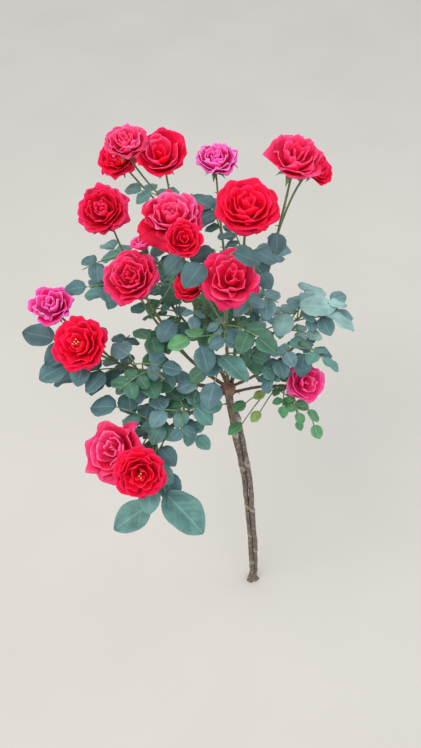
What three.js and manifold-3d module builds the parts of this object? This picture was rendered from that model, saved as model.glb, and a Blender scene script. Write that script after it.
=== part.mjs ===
// A small standard rose, rooted in the ground, in millimetres with +Z up.
// The origin is the middle of the flat cut under the trunk, at ground level.
// Two stems grow side by side up to a graft knob. Slender canes leave the knob, and each one
// is a bare bough below and a mass of twigs, leaves and double blooms above.
import * as THREE from "three";
import { mergeVertices } from "three/addons/utils/BufferGeometryUtils.js";
import Module from "manifold-3d";

const wasm = await Module();
wasm.setup();

// Trunk: its axis leans to -X, and the two stems lie on both sides of that axis.
const knobHeight = 763;
const knobLean = -75.5;
const trunkAxis = [
  [0, -8],
  [-1, 60],
  [-9.5, 183],
  [-22.5, 342],
  [-37, 492],
  [-59.5, 650],
  [knobLean, knobHeight],
];
const stemRadiusFoot = 5.2;
const stemRadiusTop = 4.4;
const stemOffset = 4.7;
const secondStemTop = 0.92;
const stemSway = 28;
const flareRadius = 15;
const flareHeight = 34;
const collarHeights = [132, 318, 488];
const collarRadius = 6.4;
const collarDepth = 11;
const knobRadius = 9.6;
const knobDepth = 30;
const stubLength = 16;
const stubRadius = 4.4;
const thornHeight = 726;
const thornReach = 19;

// Canes, twigs and leaves.
const jointGap = 0.3;
const limbClear = 1.6;
const bladeClear = 2.8;
const ownClear = 1;
const spaceLean = 16;
const placedLean = 40;
const stemThinning = 0.62;
const twigRadius = 1.25;
const rachisRadius = 1.15;
const leafShare = 0.045;
const leafWidthShare = 0.74;
const leafDroop = 0.1;
const goldenTurn = 137.5;
const leafTries = 9;
const rootSunk = 0.35;
const crowdShare = 0.5;

// One row for each cane. Its tip is given by the bearing in degrees from +X towards +Y, the
// reach from the knob's axis, and the height above the ground. "from" is a parent cane with the
// share of its length, or the bearing and height where it leaves the knob. "rise" is how much of
// the climb the cane makes in its first half, and "bare" the share of its length that is a bough.
// A bloom row holds bearing, reach, height, width, tilt from upright and the bearing of the tilt.
// A leaf row holds bearing, reach and height of its end leaflet, that leaflet's length, and the
// share of the stem where the leaf starts. A 1 after that leaves the end leaflet alone, and a last
// value turns it. "more" is how many leaves the seeded rule adds.
const canes = [
  {
    name: "front",
    from: [250, 13], tip: [235, 12, 948], rise: 0.5, bare: 0.45, thick: 2.5,
    more: 3, twigs: 0, leaflet: 32, leafRise: 22, seed: 4,
    along: [0.1, 0.8], toward: 200, fan: 150,
    blooms: [[248.5, 7, 967, 66, 24, -90], [166.5, 46, 945, 45, 34, 210]],
    leaves: [[323, 24, 905, 28, 0.05, 1]],
  },
  {
    name: "centre",
    from: [30, 14], tip: [79, 82, 978], rise: 0.55, bare: 0.5, thick: 2.6,
    more: 2, twigs: 0, leaflet: 30, leafRise: 18, seed: 9,
    along: [0.1, 0.84], toward: 90, fan: 180,
    blooms: [[78.5, 81, 997, 73, 18, -90]],
    leaves: [[60, 69, 958, 27, 0.5, 1], [100, 66, 952, 26, 0.45], [330, 30, 915, 26, 0.3]],
  },
  {
    name: "top_right",
    from: [60, 8], tip: [63, 158, 1004], rise: 0.5, bare: 0.5, thick: 2.7,
    more: 1, twigs: 0, leaflet: 31, leafRise: 12, seed: 12,
    along: [0.05, 0.72], toward: 130, fan: 100,
    blooms: [[62.5, 158, 1020, 66, 12, -60], [55.5, 180, 1002, 40, 46, -30]],
    leaves: [[57, 98, 955, 31, 0.55, 1]],
  },
  {
    name: "top_middle",
    from: ["centre", 0.42], tip: [96, 176, 982], rise: 0.45, bare: 0.42, thick: 2.1,
    more: 3, twigs: 0, leaflet: 30, leafRise: 10, seed: 21,
    along: [0.05, 0.8], toward: 95, fan: 150,
    blooms: [[96, 177, 996, 53, 8, -90]],
    leaves: [[102, 170, 950, 38, 0.5]],
  },
  {
    name: "middle",
    from: [140, 14], tip: [130, 110, 970], rise: 0.55, bare: 0.52, thick: 2.7,
    more: 3, twigs: 0, leaflet: 30, leafRise: 12, seed: 32,
    along: [0.05, 0.7], toward: 140, fan: 120,
    blooms: [
      [128.5, 114, 976, 71, 10, -90],
      [149, 64, 990, 41, 38, -80],
      [149.5, 121, 960, 22, 18, 150],
    ],
    leaves: [[155, 78, 950, 28, 0.3]],
  },
  {
    name: "top_left",
    from: ["middle", 0.34], tip: [112, 228, 968], rise: 0.45, bare: 0.5, thick: 2.3,
    more: 3, twigs: 0, leaflet: 31, leafRise: 8, seed: 44,
    along: [0.05, 0.8], toward: 125, fan: 110,
    blooms: [
      [113.5, 220, 986, 65, 26, -95],
      [122, 248, 999, 55, 14, -100],
      [121.5, 285, 958, 60, 30, 240],
    ],
    leaves: [[109, 200, 955, 28, 0.6], [122, 190, 935, 30, 0.35]],
  },
  {
    name: "inner_left",
    from: [168, 7], tip: [163, 121, 914], rise: 0.5, bare: 0.5, thick: 2.5,
    more: 2, twigs: 0, leaflet: 31, leafRise: 10, seed: 53,
    along: [0.05, 0.8], toward: 175, fan: 120,
    blooms: [[164.5, 121, 934, 65, 28, -110]],
    leaves: [[187, 133, 876, 33, 0.1], [186, 92, 890, 30, 0.05]],
  },
  {
    name: "upper_left",
    from: ["inner_left", 0.4], tip: [141, 192, 944], rise: 0.45, bare: 0.45, thick: 2.1,
    more: 3, twigs: 0, leaflet: 32, leafRise: 10, seed: 61,
    along: [0.05, 0.82], toward: 150, fan: 110,
    blooms: [[142.5, 196, 964, 62, 32, -100]],
    leaves: [[167, 200, 902, 32, 0.25]],
  },
  {
    name: "outer_left",
    from: [196, 5], tip: [186, 172, 866], rise: 0.52, bare: 0.5, thick: 2.6,
    more: 2, twigs: 0, leaflet: 38, leafRise: 10, seed: 74,
    along: [0.05, 0.85], toward: 185, fan: 110,
    blooms: [[189, 180, 886, 64, 30, -110], [174.5, 216, 900, 52, 16, -120]],
    leaves: [[179, 242, 872, 44, 0.75], [197, 176, 850, 34, 0.4, 1], [190, 222, 858, 36, 0.6]],
  },
  {
    name: "left",
    from: ["outer_left", 0.4], tip: [196, 128, 866], rise: 0.5, bare: 0.4, thick: 1.9,
    more: 2, twigs: 1, leaflet: 34, leafRise: 16, seed: 83,
    along: [0.05, 1], toward: 190, fan: 130,
    blooms: [],
    leaves: [[186, 134, 868, 36, 0.6, 1], [192, 100, 868, 34, 0.3, 1], [201, 115, 850, 40, 0.5, 1]],
  },
  {
    name: "low_left",
    from: [226, 0], tip: [224, 170, 782], rise: 1.5, bare: 0.4, thick: 2.5,
    more: 3, twigs: 0, leaflet: 34, leafRise: -6, seed: 92,
    along: [0.1, 0.6], toward: 200, fan: 80,
    blooms: [[220, 182, 796, 73, 30, -130], [235.5, 186, 806, 60, 44, -84]],
    leaves: [
      [246, 186, 731, 62, 0.5, 1, 36],
      [237, 191, 704, 54, 0.3, 1, -40],
      [236, 150, 735, 38, 0.6, 1],
      [206, 172, 800, 36, 0.5],
      [201, 180, 826, 40, 0.3],
      [226, 130, 800, 30, 0.35],
    ],
  },
  {
    name: "low_front",
    from: ["low_left", 0.3], tip: [230, 100, 822], rise: 0.6, bare: 0.3, thick: 1.8,
    more: 1, twigs: 0, leaflet: 32, leafRise: 2, seed: 101,
    along: [0.05, 1], toward: 215, fan: 75,
    blooms: [],
    leaves: [
      [238, 63, 806, 33, 0.3],
      [213, 84, 818, 30, 0.3],
      [232, 100, 780, 26, 0.5],
      [213, 130, 814, 33, 0.8],
    ],
  },
  {
    name: "over_knob",
    from: ["front", 0.3], tip: [250, 46, 868], rise: 0.55, bare: 0.35, thick: 1.8,
    more: 0, twigs: 0, leaflet: 32, leafRise: 14, seed: 113,
    along: [0.15, 1], toward: 215, fan: 110,
    blooms: [],
    leaves: [[267, 49, 874, 46, 0.6, 1], [252, 73, 858, 36, 0.75, 1], [237, 60, 882, 36, 0.25, 1]],
  },
  {
    name: "heart",
    from: ["middle", 0.2], tip: [128, 54, 884], rise: 0.5, bare: 0.38, thick: 1.9,
    more: 5, twigs: 1, leaflet: 29, leafRise: 12, seed: 122,
    along: [0.1, 1], toward: 150, fan: 180,
    blooms: [],
    leaves: [[204, 31, 880, 31, 0.5], [80, 60, 890, 31, 0.6]],
  },
  {
    name: "low_right",
    from: [-22, -5], tip: [-8, 96, 776], rise: 2.0, bare: 0.45, thick: 2.1,
    more: 3, twigs: 0, leaflet: 20, leafRise: -14, seed: 131,
    along: [0.02, 0.9], toward: -10, fan: 110,
    blooms: [[-8, 99, 793, 54, 34, -60]],
    leaves: [
      [290, 48, 735, 22, 0.1, 1],
      [310, 29, 752, 20, 0.14, 1],
      [320, 53, 748, 19, 0.25, 1],
      [332, 44, 775, 18, 0.3, 1],
      [342, 113, 752, 19, 0.85, 1],
      [334, 101, 745, 15, 0.7, 1],
      [336, 124, 740, 20, 0.95, 1],
    ],
  },
  {
    name: "right_front",
    from: [-4, 9], tip: [6, 90, 852], rise: 0.55, bare: 0.4, thick: 2.1,
    more: 4, twigs: 0, leaflet: 30, leafRise: 12, seed: 142,
    along: [0.1, 1], toward: 0, fan: 110,
    blooms: [],
    leaves: [
      [5, 88, 848, 34, 0.6, 1],
      [1, 113, 836, 28, 0.9, 1],
      [355, 88, 838, 28, 0.5, 1],
      [340, 66, 838, 27, 0.3],
    ],
  },
  {
    name: "right_back",
    from: ["top_right", 0.24], tip: [26, 112, 864], rise: 0.55, bare: 0.45, thick: 1.9,
    more: 3, twigs: 0, leaflet: 34, leafRise: 8, seed: 151,
    along: [0.1, 1], toward: 35, fan: 100,
    blooms: [],
    leaves: [
      [24, 104, 890, 44, 0.6, 1],
      [15, 132, 872, 42, 0.9, 1],
      [20, 68, 878, 34, 0.2, 1],
      [21, 150, 878, 26, 0.97, 1],
      [30, 110, 862, 34, 0.7],
    ],
  },
  {
    name: "back",
    from: [100, 3], tip: [92, 136, 872], rise: 0.55, bare: 0.42, thick: 2.1,
    more: 4, twigs: 2, leaflet: 32, leafRise: 8, seed: 166,
    along: [0.05, 1], toward: 90, fan: 120,
    blooms: [],
    leaves: [],
  },
  {
    name: "back_left",
    from: ["middle", 0.26], tip: [133, 146, 856], rise: 0.55, bare: 0.42, thick: 1.9,
    more: 4, twigs: 2, leaflet: 32, leafRise: 8, seed: 173,
    along: [0.05, 1], toward: 140, fan: 110,
    blooms: [],
    leaves: [],
  },
];

// Leaflets of one leaf: share of the rachis, angle from it, and size.
const leafletRows = [
  [1, 0, 1],
  [0.66, 66, 0.9],
  [0.71, -66, 0.9],
];
const fewestLeaflets = 2;
const fewestPlaced = 1;

// Leaves of one side twig: share of the twig and angle from it.
const sprayRows = [
  [1, 0],
  [0.72, 82],
  [0.5, -82],
];

const up = new THREE.Vector3(0, 0, 1);

function polar(bearing, reach, height) {
  const angle = THREE.MathUtils.degToRad(bearing);
  return new THREE.Vector3(knobLean + reach * Math.cos(angle), reach * Math.sin(angle), height);
}

function heading(bearing, rise) {
  const turn = THREE.MathUtils.degToRad(bearing);
  const climb = THREE.MathUtils.degToRad(rise);
  return new THREE.Vector3(
    Math.cos(climb) * Math.cos(turn),
    Math.cos(climb) * Math.sin(turn),
    Math.sin(climb),
  );
}

// The same seed always gives the same run of numbers from 0 to 1.
function seeded(seed) {
  let state = (seed * 7919 + 12345) % 4294967296;
  return () => {
    state = (state * 1664525 + 1013904223) % 4294967296;
    return state / 4294967296;
  };
}

// A closed three.js geometry becomes a solid that can be joined and cut.
function solidOf(geometry) {
  geometry.deleteAttribute("normal");
  geometry.deleteAttribute("uv");
  const merged = mergeVertices(geometry, 1e-4);
  return new wasm.Manifold(
    new wasm.Mesh({
      numProp: 3,
      vertProperties: merged.attributes.position.array,
      triVerts: new Uint32Array(merged.index.array),
    }),
  );
}

// A cylinder bent along a curve, with its radius given by a function of the share of the length.
function limb(curve, radiusAt, sides, steps) {
  const geometry = new THREE.CylinderGeometry(1, 1, 1, sides, steps);
  const place = geometry.attributes.position;
  const across = new THREE.Vector3();
  const chord = curve.getPoint(1).sub(curve.getPoint(0));
  const bend = curve.getPoint(0.5).sub(curve.getPoint(0));
  across.crossVectors(chord, bend);
  if (across.length() < 0.02 * chord.lengthSq()) across.crossVectors(chord, up);
  if (across.length() < 0.05 * chord.length()) across.set(0, 1, 0);
  for (let i = 0; i < place.count; i += 1) {
    const share = THREE.MathUtils.clamp(place.getY(i) + 0.5, 0, 1);
    const along = curve.getTangent(share);
    const side = across.clone().addScaledVector(along, -across.dot(along)).normalize();
    const face = new THREE.Vector3().crossVectors(along, side);
    const radius = radiusAt(share);
    const point = curve.getPoint(share);
    point.addScaledVector(face, place.getZ(i) * radius);
    point.addScaledVector(side, -place.getX(i) * radius);
    place.setXYZ(i, point.x, point.y, point.z);
  }
  return solidOf(geometry);
}

function taper(first, last) {
  return (share) => first + (last - first) * share;
}

// A profile of radius and height pairs is spun about an axis that points along "facing".
function spun(profile, sides, centre, facing, shape) {
  const points = profile.map(([radius, height]) => new THREE.Vector2(radius, height));
  const geometry = new THREE.LatheGeometry(points, sides);
  const place = geometry.attributes.position;
  const turn = new THREE.Quaternion().setFromUnitVectors(new THREE.Vector3(0, 1, 0), facing);
  const point = new THREE.Vector3();
  for (let i = 0; i < place.count; i += 1) {
    point.fromBufferAttribute(place, i);
    if (shape) shape(point);
    point.applyQuaternion(turn).add(centre);
    place.setXYZ(i, point.x, point.y, point.z);
  }
  return solidOf(geometry);
}

// The largest body is kept, which drops loose scraps and fills sealed hollows.
function joined(solids) {
  const bodies = wasm.Manifold.union(solids).decompose();
  return bodies.reduce((best, body) => (body.volume() > best.volume() ? body : best));
}

// The trunk, its knob and the stub of a sawn limb on the knob. "grow" makes the slightly larger
// copy that cuts the canes clear.
const axisCurve = new THREE.CatmullRomCurve3(
  trunkAxis.map(([x, z]) => new THREE.Vector3(x, 0, z)),
);

function stemCurve(side, top) {
  const points = [];
  const steps = 12;
  for (let i = 0; i <= steps; i += 1) {
    const share = (i / steps) * top;
    const point = axisCurve.getPoint(share);
    const sway = THREE.MathUtils.degToRad(stemSway * Math.sin(share * 9));
    const offset = side * stemOffset * (share > 0.85 ? 1 - (share - 0.85) * 4 : 1);
    point.x += offset * Math.cos(sway);
    point.y += offset * Math.sin(sway);
    points.push(point);
  }
  return new THREE.CatmullRomCurve3(points);
}

function knobSolid(grow) {
  const r = knobRadius + grow;
  const half = knobDepth / 2 + grow;
  const centre = new THREE.Vector3(knobLean, 0, knobHeight - 2);
  const profile = [
    [0, -half],
    [0.62 * r, -0.8 * half],
    [r, -0.2 * half],
    [0.96 * r, 0.45 * half],
    [0.6 * r, 0.95 * half],
    [0, half],
  ];
  const stubFoot = new THREE.Vector3(knobLean, 0, knobHeight);
  const stubEnd = stubFoot.clone().addScaledVector(heading(-70, 62), stubLength + grow);
  const stubAxis = new THREE.LineCurve3(stubFoot, stubEnd);
  const stub = limb(stubAxis, taper(stubRadius + grow, 0.9 * stubRadius + grow), 8, 1);
  return joined([spun(profile, 10, centre, heading(170, 84)), stub]);
}

function trunkSolid() {
  const radius = taper(stemRadiusFoot, stemRadiusTop);
  const first = limb(stemCurve(-1, 1), (s) => radius(s) + 7 * Math.max(0, s - 0.8), 8, 11);
  const second = limb(stemCurve(1, secondStemTop), radius, 8, 10);
  const flare = spun(
    [
      [0, -8],
      [flareRadius, -8],
      [flareRadius, 0],
      [0.76 * flareRadius, 0.35 * flareHeight],
      [0.55 * flareRadius, flareHeight],
      [0, flareHeight],
    ],
    12,
    new THREE.Vector3(0, 0, 0),
    up,
    (point) => {
      point.z *= 0.78;
    },
  );
  const collars = collarHeights.map((height, i) => {
    const share = height / (knobHeight + 8);
    const centre = stemCurve(i % 2 ? 1 : -1, 1).getPoint(share);
    const half = collarDepth / 2;
    const profile = [
      [0, -half],
      [0.7 * collarRadius, -half],
      [collarRadius, 0],
      [0.7 * collarRadius, half],
      [0, half],
    ];
    return spun(profile, 8, centre, up);
  });
  const thornFoot = new THREE.Vector3(knobLean, 0, thornHeight);
  const thornTip = new THREE.Vector3(knobLean - thornReach, -5, thornHeight + 7);
  const thorn = limb(new THREE.LineCurve3(thornFoot, thornTip), taper(2.2, 0.7), 5, 1);
  const whole = joined([first, second, flare, knobSolid(0), thorn, ...collars]);
  const below = new THREE.BoxGeometry(80, 80, 40);
  below.translate(0, 0, -20);
  return whole.subtract(solidOf(below));
}

// Each cane is one curve from its root to its tip.
function caneCurve(cane, byName) {
  let root;
  if (typeof cane.from[0] === "string") {
    root = byName.get(cane.from[0]).curve.getPoint(cane.from[1]);
  } else {
    root = polar(cane.from[0], knobRadius * 0.45, knobHeight + cane.from[1] - 4);
  }
  const tip = polar(...cane.tip);
  const bend = root.clone().lerp(tip, 0.5);
  bend.z = root.z + (tip.z - root.z) * (cane.rise - 0.22);
  bend.lerp(new THREE.Vector3(tip.x, tip.y, bend.z), 0.28);
  return new THREE.QuadraticBezierCurve3(root, bend, tip);
}

// The part of a quadratic curve between two shares of its length.
function portion(curve, first, last) {
  const a = curve.getPoint(first);
  const b = curve.getPoint(last);
  const slope = (share) =>
    new THREE.Vector3()
      .addScaledVector(curve.v0, -2 * (1 - share))
      .addScaledVector(curve.v1, 2 - 4 * share)
      .addScaledVector(curve.v2, 2 * share);
  const bend = a.clone().addScaledVector(slope(first), (last - first) / 2);
  return new THREE.QuadraticBezierCurve3(a, bend, b);
}

const byName = new Map();
for (const cane of canes) {
  const curve = caneCurve(cane, byName);
  const length = curve.getLength();
  const endRadius = cane.thick * (1 - 0.32 * cane.bare);
  byName.set(cane.name, {
    ...cane,
    curve,
    bough: portion(curve, 0, cane.bare),
    stem: portion(curve, cane.bare + jointGap / length, 1),
    endRadius,
  });
}
const shoots = [...byName.values()];

// A mass owns the points that are nearer to its stem and blooms than to those of any other,
// and its leaves may lean a little past that border where nothing else is.
const anchors = shoots.map((shoot) => [
  ...[0, 0.25, 0.5, 0.75, 1].map((share) => ({ at: shoot.stem.getPoint(share), pull: 0 })),
  ...shoot.blooms.map(([bearing, reach, height, width]) => ({
    at: polar(bearing, reach, height),
    pull: width * 0.36,
  })),
]);

function nearness(owner, point) {
  return Math.min(...anchors[owner].map(({ at, pull }) => at.distanceTo(point) - pull));
}

function inSpace(owner, point, lean) {
  const own = nearness(owner, point) - lean;
  return anchors.every((_, other) => other === owner || nearness(other, point) > own);
}

// What has grown so far: points along limbs and twigs, blooms, and the blades of leaflets.
const wood = [];
const flowers = [];
const blades = [];
const boughOwner = -1;

function layWood(curve, radiusAt, owner) {
  const steps = Math.ceil(curve.getLength() / 4);
  for (let i = 0; i <= steps; i += 1) {
    wood.push({ at: curve.getPoint(i / steps), radius: radiusAt(i / steps), owner });
  }
}

function nearBlade(blade, point, gap) {
  const away = point.clone().sub(blade.root);
  const ahead = away.dot(blade.along);
  if (ahead < -gap || ahead > blade.length + gap) return false;
  if (Math.abs(away.dot(blade.side)) > blade.half + gap) return false;
  const sag = (leafDroop * ahead * ahead) / blade.length;
  return Math.abs(away.dot(blade.normal) + sag) < gap;
}

function outOfBlooms(owner, point, gap) {
  return flowers.every(({ at, width, owner: whose }) => {
    const reach = whose === owner ? width * 0.42 : width * 0.5 + gap;
    return at.distanceTo(point) > reach;
  });
}

function twigFits(owner, curve, shares, radius, lean) {
  return shares.every((share) => {
    const point = curve.getPoint(share);
    return (
      inSpace(owner, point, lean) &&
      outOfBlooms(owner, point, radius + limbClear) &&
      wood.every(
        (bit) =>
          bit.owner === owner || bit.at.distanceTo(point) > bit.radius + radius + limbClear,
      ) &&
      blades.every(
        (blade) => blade.owner === owner || !nearBlade(blade, point, radius + bladeClear),
      )
    );
  });
}

// A leaflet's frame, with the points on it that are tested against everything else.
const bladeSpots = [
  [0.15, 0.4],
  [0.15, -0.4],
  [0.4, 1],
  [0.4, -1],
  [0.7, 0.95],
  [0.7, -0.95],
  [0.3, 0],
  [0.65, 0],
  [1, 0],
];

function bladeOf(root, along, normal, length, owner) {
  const square = normal.clone().addScaledVector(along, -normal.dot(along)).normalize();
  const side = new THREE.Vector3().crossVectors(along, square);
  const half = (length * leafWidthShare) / 2;
  const spots = bladeSpots.map(([ahead, out]) =>
    root
      .clone()
      .addScaledVector(along, ahead * length)
      .addScaledVector(side, out * half)
      .addScaledVector(square, -leafDroop * length * ahead * ahead),
  );
  return { root, along, normal: square, side, length, half, owner, spots };
}

function bladeFits(blade, lean) {
  const { owner, spots } = blade;
  const middle = spots[6];
  return (
    spots.every((spot) => inSpace(owner, spot, lean) && outOfBlooms(owner, spot, bladeClear)) &&
    blades.every((other) => {
      const gap = other.owner === owner ? ownClear : bladeClear;
      return (
        other.spots[6].distanceTo(middle) > crowdShare * blade.length &&
        spots.every((spot) => !nearBlade(other, spot, gap)) &&
        other.spots.every((spot) => !nearBlade(blade, spot, gap))
      );
    }) &&
    wood.every(
      (bit) => bit.owner === owner || !nearBlade(blade, bit.at, bit.radius + limbClear),
    )
  );
}

// A compound leaf: a drooping rachis with a leaflet at its end and pairs along it.
function compoundLeaf(owner, shape, random, fewest, lean) {
  const { root, bearing, rise, size, length, rows = leafletRows } = shape;
  const end = root.clone().addScaledVector(heading(bearing, rise), length);
  end.z -= length * 0.2;
  const bend = root.clone().addScaledVector(heading(bearing, rise), length * 0.5);
  bend.z += length * 0.05;
  const curve = new THREE.QuadraticBezierCurve3(root, bend, end);
  const roll = (random() - 0.5) * 0.7;
  const pitch = (random() - 0.5) * 0.5;
  const normal = up
    .clone()
    .addScaledVector(heading(bearing + 90, 0), roll)
    .addScaledVector(heading(bearing, 0), pitch)
    .normalize();
  const leaflets = [];
  for (const [share, spread, scale] of rows) {
    const wander = (random() - 0.5) * 12;
    const sag = -14 - 16 * random();
    const long = size * scale * (0.92 + 0.16 * random());
    const flat = heading(bearing + spread + wander, sag);
    const along = flat.addScaledVector(normal, -0.55 * flat.dot(normal)).normalize();
    const blade = bladeOf(curve.getPoint(share), along, normal, long, owner);
    if (bladeFits(blade, lean)) leaflets.push(blade);
  }
  if (leaflets.length < fewest) return null;
  if (!twigFits(owner, curve, [0.45, 0.7, 1], rachisRadius, lean)) return null;
  return { curve, leaflets };
}

function keepLeaf(plan, leaf, owner) {
  plan.leaves.push(leaf);
  layWood(leaf.curve, taper(rachisRadius, rachisRadius), owner);
  blades.push(...leaf.leaflets);
}

// The stem and the blooms of a mass come first, so that leaves grow round them.
function begin(owner) {
  const shoot = shoots[owner];
  const plan = { twigs: [], leaves: [], blooms: [] };
  layWood(shoot.stem, taper(shoot.endRadius, shoot.endRadius), owner);
  shoot.blooms.forEach(([bearing, reach, height, width, tilt, tiltBearing], order) => {
    const at = polar(bearing, reach, height);
    const facing = heading(tiltBearing, 90 - tilt);
    const neck = at.clone().addScaledVector(facing, -0.3 * width);
    const base = shoot.stem.getPoint(order === 0 ? 0.94 : 0.66 - 0.12 * order);
    const bend = neck.clone().addScaledVector(facing, -0.28 * base.distanceTo(neck));
    const curve = new THREE.QuadraticBezierCurve3(base, bend, neck);
    plan.blooms.push({ at, facing, width });
    plan.twigs.push({
      curve,
      first: shoot.endRadius * stemThinning,
      last: twigRadius * 1.2,
    });
    flowers.push({ at, width, owner });
    layWood(curve, taper(twigRadius, twigRadius), owner);
  });
  return plan;
}

// A leaf that has a row of its own runs from its share of the stem to its end leaflet.
function growPlaced(owner, plan) {
  const shoot = shoots[owner];
  const random = seeded(shoot.seed + 1000);
  for (const [bearing, reach, height, size, share, alone, turned = 0] of shoot.leaves) {
    const root = shoot.stem.getPoint(share);
    const way = polar(bearing, reach, height).sub(root);
    const length = Math.max(way.length() - size / 2, 0.7 * size);
    const turn = THREE.MathUtils.radToDeg(Math.atan2(way.y, way.x));
    const climb = THREE.MathUtils.clamp(way.z / way.length() + 0.2, -1, 1);
    const rise = THREE.MathUtils.radToDeg(Math.asin(climb));
    const rows = alone ? [[1, turned, 1]] : leafletRows;
    const shape = { root, bearing: turn, rise, size, length, rows };
    const leaf = compoundLeaf(owner, shape, random, fewestPlaced, placedLean);
    if (leaf) keepLeaf(plan, leaf, owner);
  }
}

// The rule that fills one mass: leaves and twigs leave the stem a golden turn apart, and one
// that would leave the space or touch something is tried at the next turns, then skipped.
function grow(owner, plan) {
  const shoot = shoots[owner];
  const random = seeded(shoot.seed);
  const sprouts = shoot.more + shoot.twigs;
  const [first, last] = shoot.along;
  let spin = random() * 360;
  for (let k = 0; k < sprouts; k += 1) {
    const share = first + ((last - first) * (k + 0.6 * random())) / sprouts;
    const root = shoot.stem.getPoint(share);
    const isTwig = shoot.twigs > 0 && k % Math.ceil(sprouts / shoot.twigs) === 1;
    const size = shoot.leaflet * (1.08 - 0.28 * share) * (0.9 + 0.2 * random());
    for (let attempt = 0; attempt < leafTries; attempt += 1) {
      spin = (spin + goldenTurn) % 360;
      const turn = shoot.toward + (shoot.fan * (spin - 180)) / 180;
      if (isTwig) {
        const reach = shoot.leaflet * (1.3 + 0.7 * random());
        const rise = shoot.leafRise + 22;
        const end = root.clone().addScaledVector(heading(turn, rise), reach);
        const bend = root.clone().addScaledVector(heading(turn, rise + 26), reach * 0.5);
        const curve = new THREE.QuadraticBezierCurve3(root, bend, end);
        if (!twigFits(owner, curve, [0.4, 0.7, 1], twigRadius, spaceLean)) continue;
        let grown = 0;
        for (const [at, swing] of sprayRows) {
          const shape = {
            root: curve.getPoint(at),
            bearing: turn + swing,
            rise: shoot.leafRise,
            size: size * 0.85,
            length: size * (1.4 + 0.3 * random()),
          };
          const leaf = compoundLeaf(owner, shape, random, fewestLeaflets, spaceLean);
          if (leaf) {
            keepLeaf(plan, leaf, owner);
            grown += 1;
          }
        }
        if (!grown) continue;
        plan.twigs.push({ curve, first: twigRadius * 1.15, last: twigRadius });
        layWood(curve, taper(twigRadius, twigRadius), owner);
        break;
      }
      const rise = shoot.leafRise + 10 * random();
      const length = size * (1.65 + 0.35 * random());
      const shape = { root, bearing: turn, rise, size, length };
      const leaf = compoundLeaf(owner, shape, random, fewestLeaflets, spaceLean);
      if (!leaf) continue;
      keepLeaf(plan, leaf, owner);
      break;
    }
  }
  return plan;
}

// A leaflet is a thin six-sided blade that droops to its tip, with its root sunk in the rachis.
function leafSolid(leaf) {
  const geometry = new THREE.SphereGeometry(1, 6, 2);
  const place = geometry.attributes.position;
  const { normal, side, half } = leaf;
  const root = leaf.root.clone().addScaledVector(leaf.along, -rootSunk);
  const length = leaf.length + rootSunk;
  for (let i = 0; i < place.count; i += 1) {
    const across = place.getZ(i) / 0.866;
    const ahead = (place.getX(i) + 1) / 2;
    const swell = ahead > 0.6 && ahead < 0.9 ? 0.9 : 1;
    const point = root
      .clone()
      .addScaledVector(leaf.along, length * (ahead > 0.1 && ahead < 0.4 ? 0.3 : ahead))
      .addScaledVector(side, across * half * swell)
      .addScaledVector(normal, place.getY(i) * 0.5 * leafShare * length)
      .addScaledVector(normal, -leafDroop * length * ahead * ahead);
    place.setXYZ(i, point.x, point.y, point.z);
  }
  return solidOf(geometry);
}

// A double bloom: a wide ring of petals that curls down at its rim, round a raised heart.
function bloomSolid({ at, facing, width }) {
  const r = width / 2;
  const bud = width < 30;
  const profile = bud
    ? [
        [0, -1.1 * r],
        [0.62 * r, -0.7 * r],
        [0.9 * r, 0],
        [0.5 * r, 0.8 * r],
        [0, 1.0 * r],
      ]
    : [
        [0, -0.62 * r],
        [0.3 * r, -0.55 * r],
        [0.74 * r, -0.2 * r],
        [1.0 * r, -0.02 * r],
        [0.78 * r, 0.3 * r],
        [0.42 * r, 0.5 * r],
        [0, 0.42 * r],
      ];
  const lobes = 5;
  return spun(profile, bud ? 6 : 9, at, facing, (point) => {
    const out = Math.hypot(point.x, point.z) / r;
    const wave = bud || out < 0.7 ? 1 : 1 + 0.07 * Math.cos(lobes * Math.atan2(point.z, point.x));
    point.x *= wave;
    point.z *= wave;
  });
}

function massSolid(shoot, plan) {
  const pieces = [limb(shoot.stem, taper(shoot.endRadius, shoot.endRadius * stemThinning), 4, 4)];
  for (const { curve, first, last } of plan.twigs) pieces.push(limb(curve, taper(first, last), 3, 3));
  for (const { curve, leaflets } of plan.leaves) {
    pieces.push(limb(curve, taper(rachisRadius * 1.15, rachisRadius), 3, 3));
    for (const leaf of leaflets) pieces.push(leafSolid(leaf));
  }
  for (const bloom of plan.blooms) pieces.push(bloomSolid(bloom));
  return joined(pieces);
}

function meshOf(solid, name, material) {
  const data = solid.getMesh();
  const geometry = new THREE.BufferGeometry();
  const position = new THREE.BufferAttribute(new Float32Array(data.vertProperties), 3);
  geometry.setAttribute("position", position);
  geometry.setIndex(new THREE.BufferAttribute(new Uint32Array(data.triVerts), 1));
  const mesh = new THREE.Mesh(geometry, material);
  mesh.name = name;
  return mesh;
}

const bark = new THREE.MeshStandardMaterial({ color: 0x6b5848, roughness: 0.85, metalness: 0 });
const greenBark = new THREE.MeshStandardMaterial({ color: 0x4f5f3c, roughness: 0.6, metalness: 0 });
const foliage = new THREE.MeshStandardMaterial({ color: 0x46695c, roughness: 0.6, metalness: 0 });
for (const material of [bark, greenBark, foliage]) material.flatShading = true;

const rose = new THREE.Group();
rose.add(meshOf(trunkSolid(), "trunk", bark));

const knobGrown = knobSolid(jointGap);
for (const shoot of shoots) {
  const lower = typeof shoot.from[0] === "string" ? byName.get(shoot.from[0]) : null;
  const radius = taper(shoot.thick, shoot.endRadius);
  let solid = limb(shoot.bough, radius, 5, 4);
  if (lower) {
    const grown = taper(lower.thick + 1.4 * jointGap, lower.endRadius + 1.4 * jointGap);
    solid = solid.subtract(limb(lower.bough, grown, 5, 4));
  } else {
    solid = solid.subtract(knobGrown);
  }
  rose.add(meshOf(joined([solid]), `bough_${shoot.name}`, greenBark));
}

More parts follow.
